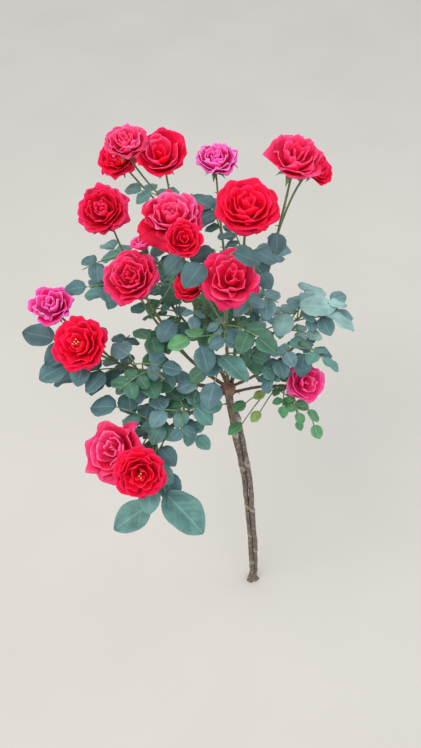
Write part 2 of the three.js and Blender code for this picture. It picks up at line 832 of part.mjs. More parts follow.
for (const { bough, thick, endRadius } of shoots) {
  layWood(bough, taper(thick, endRadius), boughOwner);
}
const upperTrunk = new THREE.LineCurve3(axisCurve.getPoint(0.5), axisCurve.getPoint(1));
layWood(upperTrunk, (share) => (share > 0.9 ? 13 : 10), boughOwner);
const plans = shoots.map((_, owner) => begin(owner));
plans.forEach((plan, owner) => growPlaced(owner, plan));
shoots.forEach((shoot, owner) => {
  const plan = grow(owner, plans[owner]);
  rose.add(meshOf(massSolid(shoot, plan), `mass_${shoot.name}`, foliage));
});

export default rose;
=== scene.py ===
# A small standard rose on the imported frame: +Z up, -Y towards the viewer, everything in metres.
import math
import bmesh
import bpy
import numpy as np
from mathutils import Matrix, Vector, noise


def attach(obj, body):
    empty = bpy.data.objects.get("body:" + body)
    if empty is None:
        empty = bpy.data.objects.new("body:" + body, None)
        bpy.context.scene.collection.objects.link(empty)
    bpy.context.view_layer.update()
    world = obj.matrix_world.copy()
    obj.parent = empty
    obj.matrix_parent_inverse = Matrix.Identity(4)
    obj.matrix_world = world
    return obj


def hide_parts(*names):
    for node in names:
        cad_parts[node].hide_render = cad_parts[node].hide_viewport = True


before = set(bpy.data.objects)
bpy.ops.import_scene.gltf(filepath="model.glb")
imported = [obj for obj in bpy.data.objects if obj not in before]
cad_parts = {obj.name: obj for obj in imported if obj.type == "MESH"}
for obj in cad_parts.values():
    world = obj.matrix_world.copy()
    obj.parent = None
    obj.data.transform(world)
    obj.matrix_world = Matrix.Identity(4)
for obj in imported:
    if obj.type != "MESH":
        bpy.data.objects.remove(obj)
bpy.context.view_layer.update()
mm = 0.001
print("frame loaded")

# How canes, twigs and leaves grow, in millimetres and degrees.
growth = {
    "knobHeight": 763,
    "knobLean": -75.5,
    "knobRadius": 9.6,
    "jointGap": 0.3,  # between a bough and the mass on it
    "limbClear": 1.6,
    "bladeClear": 2.8,
    "ownClear": 1,
    "spaceLean": 16,  # how far a leaf may stand in a neighbour's space
    "placedLean": 40,  # and one that has a row of its own
    "stemThinning": 0.62,
    "twigRadius": 1.25,
    "rachisRadius": 1.15,
    "leafWidthShare": 0.74,
    "leafDroop": 0.1,
    "goldenTurn": 137.5,
    "leafTries": 9,
    "crowdShare": 0.5,
    "leaflets": [[1, 0, 1], [0.66, 66, 0.9], [0.71, -66, 0.9]],  # place on the stalk, spread, size
    "lowerPair": [[0.36, 78, 0.7], [0.41, -78, 0.7]],
    "spray": [[1, 0], [0.72, 82], [0.5, -82]],
    "fewestLeaflets": 2,
    "fewestPlaced": 1,
    "nearTrunk": [10, 13],  # how far leaves keep from the line of the trunk, and from its head
}
# How the stalks bend and the leaves turn. A pair is a first value and what a draw adds to it.
habit = {
    "rootInKnob": 0.45,
    "rootDrop": 4,
    "bendDrop": 0.22,
    "bendOut": 0.28,
    "taper": 0.32,
    "bloomPull": 0.36,  # shares of a bloom's width
    "ownBloom": 0.42,
    "neck": 0.3,
    "neckBend": 0.28,
    "firstBloomAt": 0.94,
    "nextBloomsAt": 0.66,
    "bloomStep": 0.12,
    "testEvery": 4,
    "leafRoll": 0.7,
    "leafPitch": 0.5,
    "wander": 12,
    "sag": [-14, -16],
    "leafletLength": [0.92, 0.16],
    "lieFlat": 0.55,
    "stalkDrop": 0.2,
    "stalkArch": 0.05,
    "stalkLength": [1.65, 0.35],
    "stalkRise": 10,
    "lift": 0.2,  # of a placed leaf's stalk
    "leafSize": [0.9, 0.2],
    "smallerUp": [1.08, 0.28],
    "sproutStray": 0.6,
    "twigReach": [1.3, 0.7],
    "twigRise": 22,
    "twigArch": 26,
    "sprayStalk": [1.4, 0.3],
    "spraySize": 0.85,
}
# The middle of the trunk, from under the ground to the knob, as x and z.
trunkAxis = [[0, -8], [-1, 60], [-9.5, 183], [-22.5, 342], [-37, 492], [-59.5, 650], [-75.5, 763]]

# One row for each cane. It starts at a bearing round the knob and a height over it, or at a share
# of another cane. Its tip is a bearing from +X towards +Y, a reach from the knob and a height.
# It is bare up to one share. Its stem bears more leaves and twigs between two shares, and they fan
# out about the bearing "toward".
caneColumns = [
    "name", "from", "tip", "rise", "bare", "thick", "more", "twigs", "leaflet", "leafRise", "seed",
    "along", "toward", "fan",
]
caneRows = [
    ["front", [250, 13], [235, 12, 948], 0.5, 0.45, 2.5, 3, 0, 32, 22, 4, [0.1, 0.8], 200, 150],
    ["centre", [30, 14], [79, 82, 978], 0.55, 0.5, 2.6, 2, 0, 30, 18, 9, [0.1, 0.84], 90, 180],
    ["top_right", [60, 8], [63, 158, 1004], 0.5, 0.5, 2.7, 1, 0, 31, 12, 12, [0.05, 0.72], 130, 100],
    ["top_middle", ["centre", 0.42], [96, 176, 982], 0.45, 0.42, 2.1, 3, 0, 30, 10, 21,
     [0.05, 0.8], 95, 150],
    ["middle", [140, 14], [130, 110, 970], 0.55, 0.52, 2.7, 3, 0, 30, 12, 32, [0.05, 0.7], 140, 120],
    ["top_left", ["middle", 0.34], [112, 228, 968], 0.45, 0.5, 2.3, 3, 0, 31, 8, 44, [0.05, 0.8], 125, 110],
    ["inner_left", [168, 7], [163, 121, 914], 0.5, 0.5, 2.5, 2, 0, 31, 10, 53, [0.05, 0.8], 175, 120],
    ["upper_left", ["inner_left", 0.4], [141, 192, 944], 0.45, 0.45, 2.1, 3, 0, 32, 10, 61,
     [0.05, 0.82], 150, 110],
    ["outer_left", [196, 5], [186, 172, 866], 0.52, 0.5, 2.6, 2, 0, 38, 10, 74, [0.05, 0.85], 185, 110],
    ["left", ["outer_left", 0.4], [196, 128, 866], 0.5, 0.4, 1.9, 2, 1, 34, 16, 83, [0.05, 1], 190, 130],
    ["low_left", [226, 0], [224, 170, 782], 1.5, 0.4, 2.5, 3, 0, 34, -6, 92, [0.1, 0.6], 200, 80],
    ["low_front", ["low_left", 0.3], [230, 100, 822], 0.6, 0.3, 1.8, 1, 0, 32, 2, 101, [0.05, 1], 215, 75],
    ["over_knob", ["front", 0.3], [250, 46, 868], 0.55, 0.35, 1.8, 0, 0, 32, 14, 113, [0.15, 1], 215, 110],
    ["heart", ["middle", 0.2], [128, 54, 884], 0.5, 0.38, 1.9, 5, 1, 29, 12, 122, [0.1, 1], 150, 180],
    ["low_right", [-22, -5], [-8, 96, 776], 2.0, 0.45, 2.1, 3, 0, 20, -14, 131, [0.02, 0.9], -10, 110],
    ["right_front", [-4, 9], [6, 90, 852], 0.55, 0.4, 2.1, 4, 0, 30, 12, 142, [0.1, 1], 0, 110],
    ["right_back", ["top_right", 0.24], [26, 112, 864], 0.55, 0.45, 1.9, 3, 0, 34, 8, 151,
     [0.1, 1], 35, 100],
    ["back", [100, 3], [92, 136, 872], 0.55, 0.42, 2.1, 4, 2, 32, 8, 166, [0.05, 1], 90, 120],
    ["back_left", ["middle", 0.26], [133, 146, 856], 0.55, 0.42, 1.9, 4, 2, 32, 8, 173,
     [0.05, 1], 140, 110],
]
bloomPlaces = {  # bearing, reach, height, width, tilt and the tilt's bearing
    "front": [[248.5, 7, 967, 66, 24, -90], [166.5, 46, 945, 45, 34, 210]],
    "centre": [[78.5, 81, 997, 73, 18, -90]],
    "top_right": [[62.5, 158, 1020, 66, 12, -60], [55.5, 180, 1002, 40, 46, -30]],
    "top_middle": [[96, 177, 996, 53, 8, -90]],
    "middle": [
        [128.5, 114, 976, 71, 10, -90], [149, 64, 990, 41, 38, -80], [149.5, 121, 960, 22, 18, 150],
    ],
    "top_left": [
        [113.5, 220, 986, 65, 26, -95], [122, 248, 999, 55, 14, -100], [121.5, 285, 958, 60, 30, 240],
    ],
    "inner_left": [[164.5, 121, 934, 65, 28, -110]],
    "upper_left": [[142.5, 196, 964, 62, 32, -100]],
    "outer_left": [[189, 180, 886, 64, 30, -110], [174.5, 216, 900, 52, 16, -120]],
    "low_left": [[220, 182, 796, 73, 30, -130], [235.5, 186, 806, 60, 44, -84]],
    "low_right": [[-8, 99, 793, 54, 34, -60]],
}
# The bearing, reach, height and size of an end leaflet, and the share of the stem it leaves from.
# A 1 after that leaves the end leaflet alone, and a last value turns it.
leafPlaces = {
    "front": [[323, 24, 905, 28, 0.05, 1]],
    "centre": [[60, 69, 958, 27, 0.5, 1], [100, 66, 952, 26, 0.45], [330, 30, 915, 26, 0.3]],
    "top_right": [[57, 98, 955, 31, 0.55, 1]],
    "top_middle": [[102, 170, 950, 38, 0.5]],
    "middle": [[155, 78, 950, 28, 0.3]],
    "top_left": [[109, 200, 955, 28, 0.6], [122, 190, 935, 30, 0.35]],
    "inner_left": [[187, 133, 876, 33, 0.1], [186, 92, 890, 30, 0.05]],
    "upper_left": [[167, 200, 902, 32, 0.25]],
    "outer_left": [[179, 242, 872, 44, 0.75], [197, 176, 850, 34, 0.4, 1], [190, 222, 858, 36, 0.6]],
    "left": [[186, 134, 868, 36, 0.6, 1], [192, 100, 868, 34, 0.3, 1], [201, 115, 850, 40, 0.5, 1]],
    "low_left": [
        [246, 186, 731, 62, 0.5, 1, 36], [237, 191, 704, 54, 0.3, 1, -40], [236, 150, 735, 38, 0.6, 1],
        [206, 172, 800, 36, 0.5], [201, 180, 826, 40, 0.3], [226, 130, 800, 30, 0.35],
    ],
    "low_front": [
        [238, 63, 806, 33, 0.3], [213, 84, 818, 30, 0.3], [232, 100, 780, 26, 0.5],
        [213, 130, 814, 33, 0.8],
    ],
    "over_knob": [[267, 49, 874, 46, 0.6, 1], [252, 73, 858, 36, 0.75, 1], [237, 60, 882, 36, 0.25, 1]],
    "heart": [[204, 31, 880, 31, 0.5], [80, 60, 890, 31, 0.6]],
    "low_right": [
        [290, 48, 735, 22, 0.1, 1], [310, 29, 752, 20, 0.14, 1], [320, 53, 748, 19, 0.25, 1],
        [332, 44, 775, 18, 0.3, 1], [342, 113, 752, 19, 0.85, 1], [334, 101, 745, 15, 0.7, 1],
        [336, 124, 740, 20, 0.95, 1],
    ],
    "right_front": [
        [5, 88, 848, 34, 0.6, 1], [1, 113, 836, 28, 0.9, 1], [355, 88, 838, 28, 0.5, 1],
        [340, 66, 838, 27, 0.3],
    ],
    "right_back": [
        [24, 104, 890, 44, 0.6, 1], [15, 132, 872, 42, 0.9, 1], [20, 68, 878, 34, 0.2, 1],
        [21, 150, 878, 26, 0.97, 1], [30, 110, 862, 34, 0.7],
    ],
}


def polar(bearing, reach, height):
    angle = math.radians(bearing)
    x = growth["knobLean"] + reach * math.cos(angle)
    return np.array([x, reach * math.sin(angle), height], float)


def heading(bearing, rise):
    turn, climb = math.radians(bearing), math.radians(rise)
    flat = math.cos(climb)
    return np.array([flat * math.cos(turn), flat * math.sin(turn), math.sin(climb)])


def unit(v):
    return v / np.linalg.norm(v)


def seeded(seed):  # the same seed always gives the same run of numbers from 0 to 1
    state = (seed * 7919 + 12345) % 4294967296

    def draw():
        nonlocal state
        state = (state * 1664525 + 1013904223) % 4294967296
        return state / 4294967296

    return draw


def drawn(draw, pair):
    return pair[0] + pair[1] * draw()


class Bend:  # the curve of every cane, twig and leaf stalk
    def __init__(self, start, middle, end):
        self.start, self.middle, self.end = start, middle, end

    def at(self, share):
        rest = 1 - share
        return rest * rest * self.start + 2 * rest * share * self.middle + share * share * self.end

    def slope(self, share):
        first = 2 * (1 - share) * (self.middle - self.start)
        return first + 2 * share * (self.end - self.middle)

    def length(self):
        points = np.array([self.at(i / 200) for i in range(201)])
        return float(np.linalg.norm(np.diff(points, axis=0), axis=1).sum())

    def portion(self, first, last):
        a, b = self.at(first), self.at(last)
        return Bend(a, a + self.slope(first) * (last - first) / 2, b)


def caneCurve(shoot):
    start, share = shoot["from"]
    if start in shoots:
        root = shoots[start]["curve"].at(share)
    else:
        height = growth["knobHeight"] + share - habit["rootDrop"]
        root = polar(start, growth["knobRadius"] * habit["rootInKnob"], height)
    tip = polar(*shoot["tip"])
    bend = (root + tip) / 2
    bend[2] = root[2] + (tip[2] - root[2]) * (shoot["rise"] - habit["bendDrop"])
    bend[:2] += (tip[:2] - bend[:2]) * habit["bendOut"]
    return Bend(root, bend, tip)


shoots = {}
for row in caneRows:
    shoot = dict(zip(caneColumns, row))
    curve = caneCurve(shoot)
    shoot["curve"] = curve
    shoot["bough"] = curve.portion(0, shoot["bare"])
    shoot["stem"] = curve.portion(shoot["bare"] + growth["jointGap"] / curve.length(), 1)
    shoot["endRadius"] = shoot["thick"] * (1 - habit["taper"] * shoot["bare"])
    shoots[shoot["name"]] = shoot
shootList = list(shoots.values())

# Each mass owns the points nearest to its own stem and blooms.
anchorAt, anchorPull, anchorStart = [], [], []
for name, shoot in shoots.items():
    anchorStart.append(len(anchorAt))
    for share in (0, 0.25, 0.5, 0.75, 1):
        anchorAt.append(shoot["stem"].at(share))
        anchorPull.append(0)
    for bearing, reach, height, width, *_ in bloomPlaces.get(name, []):
        anchorAt.append(polar(bearing, reach, height))
        anchorPull.append(width * habit["bloomPull"])
anchorAt, anchorPull = np.array(anchorAt), np.array(anchorPull)


def away(points, others):
    return np.linalg.norm(points[:, None] - others[None], axis=2)


def inSpace(owner, points, lean):
    near = np.minimum.reduceat(away(points, anchorAt) - anchorPull, anchorStart, axis=1)
    own = near[:, owner] - lean
    near[:, owner] = np.inf
    return bool((near > own[:, None]).all())


class Grown:  # everything that has grown so far, kept as arrays for quick tests
    def __init__(self):
        self.wood = np.zeros((60000, 5))  # place, radius, owner
        self.bits = 0
        self.flowers = []
        self.blades = []
        self.table = None

    def layWood(self, curve, radius, owner):  # the radius is a rule of the share along the curve
        steps = math.ceil(curve.length() / habit["testEvery"])
        for i in range(steps + 1):
            self.wood[self.bits] = [*curve.at(i / steps), radius(i / steps), owner]
            self.bits += 1

    def otherWood(self, owner):
        wood = self.wood[: self.bits]
        return wood[wood[:, 4] != owner]

    def keepBlades(self, blades):
        self.blades += blades
        self.table = {key: np.array([blade[key] for blade in self.blades]) for key in blades[0]}


grown = Grown()


def nearBlades(table, points, gap):  # blades down, points across
    off = points[None] - table["root"][:, None]
    ahead, out, high = [(off * table[way][:, None]).sum(2) for way in ("along", "side", "normal")]
    length = table["length"][:, None]
    inside = (ahead >= -gap) & (ahead <= length + gap)
    inside &= np.abs(out) <= table["half"][:, None] + gap
    return inside & (np.abs(high + growth["leafDroop"] * ahead * ahead / length) < gap)


def outOfBlooms(owner, points, gap):
    for at, width, whose in grown.flowers:
        reach = width * habit["ownBloom"] if whose == owner else width / 2 + gap
        if not (np.linalg.norm(points - at, axis=1) > reach).all():
            return False
    return True


def twigFits(owner, curve, shares, radius, lean):
    points = np.array([curve.at(share) for share in shares])
    gap = radius + growth["limbClear"]
    if not (inSpace(owner, points, lean) and outOfBlooms(owner, points, gap)):
        return False
    wood = grown.otherWood(owner)
    if not (away(points, wood[:, :3]) > wood[:, 3] + gap).all():
        return False
    if grown.table is None:
        return True
    near = nearBlades(grown.table, points, radius + growth["bladeClear"])
    return not near[grown.table["owner"] != owner].any()


# Points of a leaflet that are tested, as shares of its length and half width. One is its middle.
bladeSpots = [
    [0.15, 0.4], [0.15, -0.4], [0.4, 1], [0.4, -1], [0.7, 0.95],
    [0.7, -0.95], [0.3, 0], [0.65, 0], [1, 0],
]
middleSpot = 6


def bladeOf(root, along, normal, length, owner):
    square = unit(normal - along * normal.dot(along))
    side = np.cross(along, square)
    half = length * growth["leafWidthShare"] / 2
    spots = [
        root + along * ahead * length + side * out * half
        - square * growth["leafDroop"] * length * ahead * ahead
        for ahead, out in bladeSpots
    ]
    return {
        "root": root, "along": along, "normal": square, "side": side, "length": length,
        "half": half, "owner": owner, "spots": np.array(spots),
    }


def bladeFits(blade, lean):
    owner, spots = blade["owner"], blade["spots"]
    if not (inSpace(owner, spots, lean) and outOfBlooms(owner, spots, growth["bladeClear"])):
        return False
    alone = {key: np.array([value]) for key, value in blade.items()}
    table = grown.table
    if table is not None:
        apart = np.linalg.norm(table["spots"][:, middleSpot] - spots[middleSpot], axis=1)
        if not (apart > growth["crowdShare"] * blade["length"]).all():
            return False
        gap = np.where(table["owner"] == owner, growth["ownClear"], growth["bladeClear"])
        if nearBlades(table, spots, gap[:, None]).any():
            return False
        others = table["spots"].reshape(-1, 3)
        if nearBlades(alone, others, np.repeat(gap, len(bladeSpots))[None]).any():
            return False
    wood = grown.otherWood(owner)
    return not nearBlades(alone, wood[:, :3], (wood[:, 3] + growth["limbClear"])[None]).any()


def leafletOn(stalk, row, draw, owner):
    share, spread, scale = row
    wander = (draw() - 0.5) * habit["wander"]
    flat = heading(stalk["bearing"] + spread + wander, drawn(draw, habit["sag"]))
    along = unit(flat - stalk["normal"] * habit["lieFlat"] * flat.dot(stalk["normal"]))
    long = stalk["size"] * scale * drawn(draw, habit["leafletLength"])
    return bladeOf(stalk["curve"].at(share), along, stalk["normal"], long, owner)


def compoundLeaf(owner, shape, draw, fewest, lean, rows=growth["leaflets"]):
    root, bearing, rise, size, length = shape
    end = root + heading(bearing, rise) * length
    end[2] -= length * habit["stalkDrop"]
    middle = root + heading(bearing, rise) * length * 0.5
    middle[2] += length * habit["stalkArch"]
    roll = (draw() - 0.5) * habit["leafRoll"]
    pitch = (draw() - 0.5) * habit["leafPitch"]
    normal = unit(np.array([0, 0, 1]) + heading(bearing + 90, 0) * roll + heading(bearing, 0) * pitch)
    leaf = {
        "curve": Bend(root, middle, end), "blades": [], "bearing": bearing, "size": size,
        "normal": normal, "alone": len(rows) == 1,
    }
    for row in rows:
        blade = leafletOn(leaf, row, draw, owner)
        if bladeFits(blade, lean):
            leaf["blades"].append(blade)
    if len(leaf["blades"]) < fewest:
        return None
    if not twigFits(owner, leaf["curve"], [0.45, 0.7, 1], growth["rachisRadius"], lean):
        return None
    return leaf


def keepLeaf(plan, leaf, owner):
    plan["leaves"].append(leaf)
    grown.layWood(leaf["curve"], lambda share: growth["rachisRadius"], owner)
    grown.keepBlades(leaf["blades"])


def begin(owner, shoot):  # the stem and the blooms come first, so that leaves grow round them
    plan = {"name": shoot["name"], "twigs": [], "leaves": [], "blooms": []}
    grown.layWood(shoot["stem"], lambda share: shoot["endRadius"], owner)
    for order, row in enumerate(bloomPlaces.get(shoot["name"], [])):
        bearing, reach, height, width, tilt, tiltBearing = row
        at = polar(bearing, reach, height)
        facing = heading(tiltBearing, 90 - tilt)
        neck = at - facing * habit["neck"] * width
        later = habit["nextBloomsAt"] - habit["bloomStep"] * order
        base = shoot["stem"].at(habit["firstBloomAt"] if order == 0 else later)
        middle = neck - facing * habit["neckBend"] * float(np.linalg.norm(base - neck))
        stalk = Bend(base, middle, neck)
        plan["blooms"].append({"at": at, "facing": facing, "width": width})
        radii = [shoot["endRadius"] * growth["stemThinning"], growth["twigRadius"] * 1.2]
        plan["twigs"].append([stalk, *radii])
        grown.flowers.append((at, width, owner))
        grown.layWood(stalk, lambda share: growth["twigRadius"], owner)
    return plan


def growPlaced(owner, plan):  # a leaf with a row of its own runs to its end leaflet
    shoot = shootList[owner]
    draw = seeded(shoot["seed"] + 1000)
    for bearing, reach, height, size, share, *single in leafPlaces.get(plan["name"], []):
        root = shoot["stem"].at(share)
        way = polar(bearing, reach, height) - root
        far = float(np.linalg.norm(way))
        length = max(far - size / 2, 0.7 * size)
        turn = math.degrees(math.atan2(way[1], way[0]))
        rise = math.degrees(math.asin(min(max(way[2] / far + habit["lift"], -1), 1)))
        rows = [[1, single[1] if len(single) > 1 else 0, 1]] if single else growth["leaflets"]
        shape = [root, turn, rise, size, length]
        leaf = compoundLeaf(owner, shape, draw, growth["fewestPlaced"], growth["placedLean"], rows)
        if leaf:
            keepLeaf(plan, leaf, owner)


def growTwig(owner, plan, root, turn, size, draw):  # a side twig with a spray of leaves
    shoot = shootList[owner]
    lean = growth["spaceLean"]
    reach = shoot["leaflet"] * drawn(draw, habit["twigReach"])
    rise = shoot["leafRise"] + habit["twigRise"]
    end = root + heading(turn, rise) * reach
    curve = Bend(root, root + heading(turn, rise + habit["twigArch"]) * reach * 0.5, end)
    if not twigFits(owner, curve, [0.4, 0.7, 1], growth["twigRadius"], lean):
        return False
    before = len(plan["leaves"])
    for at, swing in growth["spray"]:
        length = size * drawn(draw, habit["sprayStalk"])
        shape = [curve.at(at), turn + swing, shoot["leafRise"], size * habit["spraySize"], length]
        leaf = compoundLeaf(owner, shape, draw, growth["fewestLeaflets"], lean)
        if leaf:
            keepLeaf(plan, leaf, owner)
    if len(plan["leaves"]) == before:
        return False
    plan["twigs"].append([curve, growth["twigRadius"] * 1.15, growth["twigRadius"]])
    grown.layWood(curve, lambda share: growth["twigRadius"], owner)
    return True


def grow(owner, plan):
    shoot = shootList[owner]
    draw = seeded(shoot["seed"])
    sprouts = shoot["more"] + shoot["twigs"]
    first, last = shoot["along"]
    spin = draw() * 360
    for k in range(sprouts):
        share = first + (last - first) * (k + habit["sproutStray"] * draw()) / sprouts
        root = shoot["stem"].at(share)
        isTwig = shoot["twigs"] > 0 and k % math.ceil(sprouts / shoot["twigs"]) == 1
        low, less = habit["smallerUp"]
        size = shoot["leaflet"] * (low - less * share) * drawn(draw, habit["leafSize"])
        for _ in range(growth["leafTries"]):
            spin = (spin + growth["goldenTurn"]) % 360
            turn = shoot["toward"] + shoot["fan"] * (spin - 180) / 180
            if isTwig:
                if growTwig(owner, plan, root, turn, size, draw):
                    break
                continue
            rise = shoot["leafRise"] + habit["stalkRise"] * draw()
            shape = [root, turn, rise, size, size * drawn(draw, habit["stalkLength"])]
            leaf = compoundLeaf(owner, shape, draw, growth["fewestLeaflets"], growth["spaceLean"])
            if leaf:
                keepLeaf(plan, leaf, owner)
                break


for shoot in shootList:
    first, last = shoot["thick"], shoot["endRadius"]
    grown.layWood(shoot["bough"], lambda share: first + (last - first) * share, -1)
axisPoints = [np.array([x, 0, z], float) for x, z in trunkAxis]
low, high = axisPoints[3], axisPoints[6]
upperTrunk = Bend(low, (low + high) / 2, high)
grown.layWood(upperTrunk, lambda share: growth["nearTrunk"][share > 0.9], -1)
plans = [begin(owner, shoot) for owner, shoot in enumerate(shootList)]
for rule in (growPlaced, grow):
    for owner, plan in enumerate(plans):
        rule(owner, plan)
print("grown:", sum(len(plan["leaves"]) for plan in plans), "leaves,", len(grown.blades), "leaflets")


def colour(text):  # sRGB hex to the linear values that shaders take
    parts = [int(text[i : i + 2], 16) / 255 for i in (1, 3, 5)]
    return (*[c / 12.92 if c < 0.04045 else ((c + 0.055) / 1.055) ** 2.4 for c in parts], 1)


def addNode(tree, kind, settings, made=None):
    # A setting is a value, a ramp's stops, or the node or the output that feeds a socket.
    made = made or tree.nodes.new("ShaderNode" + kind)
    for key, value in settings.items():
        if isinstance(value, bpy.types.Node):
            value = next(output for output in value.outputs if output.enabled)
        if isinstance(value, bpy.types.NodeSocket):
            tree.links.new(value, made.inputs[key])
        elif key == "stops":
            steps = made.color_ramp.elements
            while len(steps) < len(value):
                steps.new(0.5)
            for step, (place, shade) in zip(steps, value):
                step.position = place
                step.color = colour(shade) if isinstance(shade, str) else (shade, shade, shade, 1)
        elif isinstance(key, int) or key in made.inputs:
            made.inputs[key].default_value = value
        else:
            setattr(made, key, value)
    return made


def startMaterial(name, settings):
    material = bpy.data.materials.new(name)
    material.use_nodes = True
    tree = material.node_tree
    addNode(tree, "BsdfPrincipled", settings, tree.nodes["Principled BSDF"])
    return material, tree, addNode(tree, "TexCoord", {}).outputs


def finishMaterial(material, base, height, strength, depth):  # its relief is "depth" millimetres
    tree = material.node_tree
    relief = {"Strength": strength, "Distance": depth * mm, "Height": height}
    bump = addNode(tree, "Bump", relief)
    links = {"Base Color": base, "Normal": bump}
    addNode(tree, "BsdfPrincipled", links, tree.nodes["Principled BSDF"])
    return material


# Leaves: matt, with their green painted blue-grey, a painted reflection of the sky. The midrib and the
# side veins are paler and sunk, with eight side veins on each half of a blade.
leafTones = {
    "sea": ["#4E766F", "#7AA29A"],
    "slate": ["#426164", "#6B8E8F"],
    "deep": ["#375E4A", "#649178"],
    "fresh": ["#4C8055", "#80B082"],
    # The next tone is a lighter copy of the blue-grey green, a painted sheen on some leaves.
    "silver": ["#5A7C7F", "#8AAAA9"],
    "pale": ["#7A9C96", "#9EBAB6"],
    "dusk": ["#3A5456", "#5C7C7C"],
    "young": ["#7C9451", "#B0C180"],
}


def leafMaterial(name, face, vein, rough):
    settings = {"Roughness": rough, "IOR": 1.45, "Specular IOR Level": 0.35}
    material, tree, place = startMaterial(name, settings)
    spot = addNode(tree, "SeparateXYZ", {0: place["UV"]})
    aside = addNode(tree, "Math", {"operation": "SUBTRACT", 0: spot.outputs["Y"], 1: 0.5})
    off = addNode(tree, "Math", {"operation": "ABSOLUTE", 0: aside})  # from the midrib to the margin
    rib = addNode(tree, "ValToRGB", {"Fac": off, "stops": [(0.0, 1.0), (0.05, 0.0)]})
    pace = {"operation": "MULTIPLY_ADD", 0: spot.outputs["X"], 1: 8.0, 2: 0.5}
    slant = {"operation": "MULTIPLY_ADD", 0: off, 1: -5.0, 2: addNode(tree, "Math", pace)}
    saw = {"operation": "PINGPONG", 0: addNode(tree, "Math", slant), 1: 0.5}
    side = {"Fac": addNode(tree, "Math", saw), "stops": [(0.0, 0.35), (0.1, 0.0)]}
    veins = {"operation": "MAXIMUM", 0: rib, 1: addNode(tree, "ValToRGB", side)}
    veins = addNode(tree, "Math", veins)
    patch = addNode(tree, "TexNoise", {"Scale": 60.0, "Detail": 4.0, "Vector": place["Object"]})  # 17 mm
    # Patches partly vary the leaf's own tone and partly brighten it as painted sheen.
    mottleAndSheen = addNode(tree, "ValToRGB", {"Fac": patch, "stops": [(0.35, 0.84), (0.7, 1.42)]})
    mix = {"data_type": "RGBA", "blend_type": "MULTIPLY", 0: 1.0, 6: colour(face), 7: mottleAndSheen}
    base = addNode(tree, "Mix", mix)
    edge = addNode(tree, "ValToRGB", {"Fac": off, "stops": [(0.3, 0.0), (0.5, 0.25)]})
    base = addNode(tree, "Mix", {"data_type": "RGBA", 0: edge, 6: base, 7: colour(vein)})
    paler = addNode(tree, "Math", {"operation": "MULTIPLY", 0: veins, 1: 0.6})
    base = addNode(tree, "Mix", {"data_type": "RGBA", 0: paler, 6: base, 7: colour(vein)})
    uneven = addNode(tree, "Math", {"operation": "MULTIPLY", 0: patch, 1: 0.3})
    sunk = addNode(tree, "Math", {"operation": "SUBTRACT", 0: uneven, 1: veins})
    return finishMaterial(material, base, sunk, 0.5, 0.6)


# Petals: velvety and a little see-through, so that the shade between them stays red, with a
# lighter, pinker rim, partly the petal's own paler edge and partly a painted highlight, fine veins
# and a pale claw. Face, rim and back.
petalTones = {
    "brightRed": ["#FF0A30", "#FF2448", "#F41236"],
    "pinkRed": ["#F92050", "#FF4C7A", "#EE244E"],
    "crimson": ["#F01A48", "#F8355F", "#E61C46"],
    "deepRed": ["#EC102F", "#F22242", "#DC1230"],
    "rosePink": ["#FD2C66", "#FF6EA2", "#F4366A"],
    "raspberry": ["#FF2C80", "#FF66A4", "#F83276"],
    "magenta": ["#F0207C", "#FF66BE", "#DC1E5C"],
    "orchid": ["#FA48A4", "#FF8CD0", "#EA3C84"],
}
clawTone = "#F6D9A8"


def petalMaterial(name, face, rimAndHighlight):
    material, tree, place = startMaterial(name, {
        "Roughness": 0.75, "IOR": 1.4, "Specular IOR Level": 0.04,
        "Sheen Weight": 0.03, "Sheen Roughness": 0.4, "Sheen Tint": colour(rimAndHighlight),
        "Subsurface Weight": 0.6, "Subsurface Scale": 0.008, "Subsurface Radius": (1.0, 0.25, 0.35),
    })
    spot = addNode(tree, "SeparateXYZ", {0: place["UV"]})
    patch = addNode(tree, "TexNoise", {"Scale": 75.0, "Detail": 3.0, "Vector": place["Object"]})  # 13 mm
    lower = addNode(tree, "Math", {"operation": "SUBTRACT", 0: spot.outputs["Y"], 1: 0.25})
    upTo = {"operation": "MULTIPLY_ADD", 0: patch, 1: 0.5, 2: lower}
    # The rim stop is partly the petal's own paler edge and partly a painted highlight.
    stops = [(0.0, clawTone), (0.12, face), (0.68, face), (1.0, rimAndHighlight)]
    along = addNode(tree, "ValToRGB", {"Fac": addNode(tree, "Math", upTo), "stops": stops})
    # Thirty veins across a petal, coarser than real ones so that they show.
    stretch = addNode(tree, "Mapping", {"Scale": (30.0, 2.5, 1.0), "Vector": place["UV"]})
    veins = addNode(tree, "TexNoise", {"Scale": 1.0, "Detail": 3.0, "Vector": stretch})
    shade = addNode(tree, "ValToRGB", {"Fac": veins, "stops": [(0.3, 0.86), (0.7, 1.05)]})
    mix = {"data_type": "RGBA", "blend_type": "MULTIPLY", 0: 1.0, 6: along, 7: shade}
    return finishMaterial(material, addNode(tree, "Mix", mix), veins, 0.3, 0.4)


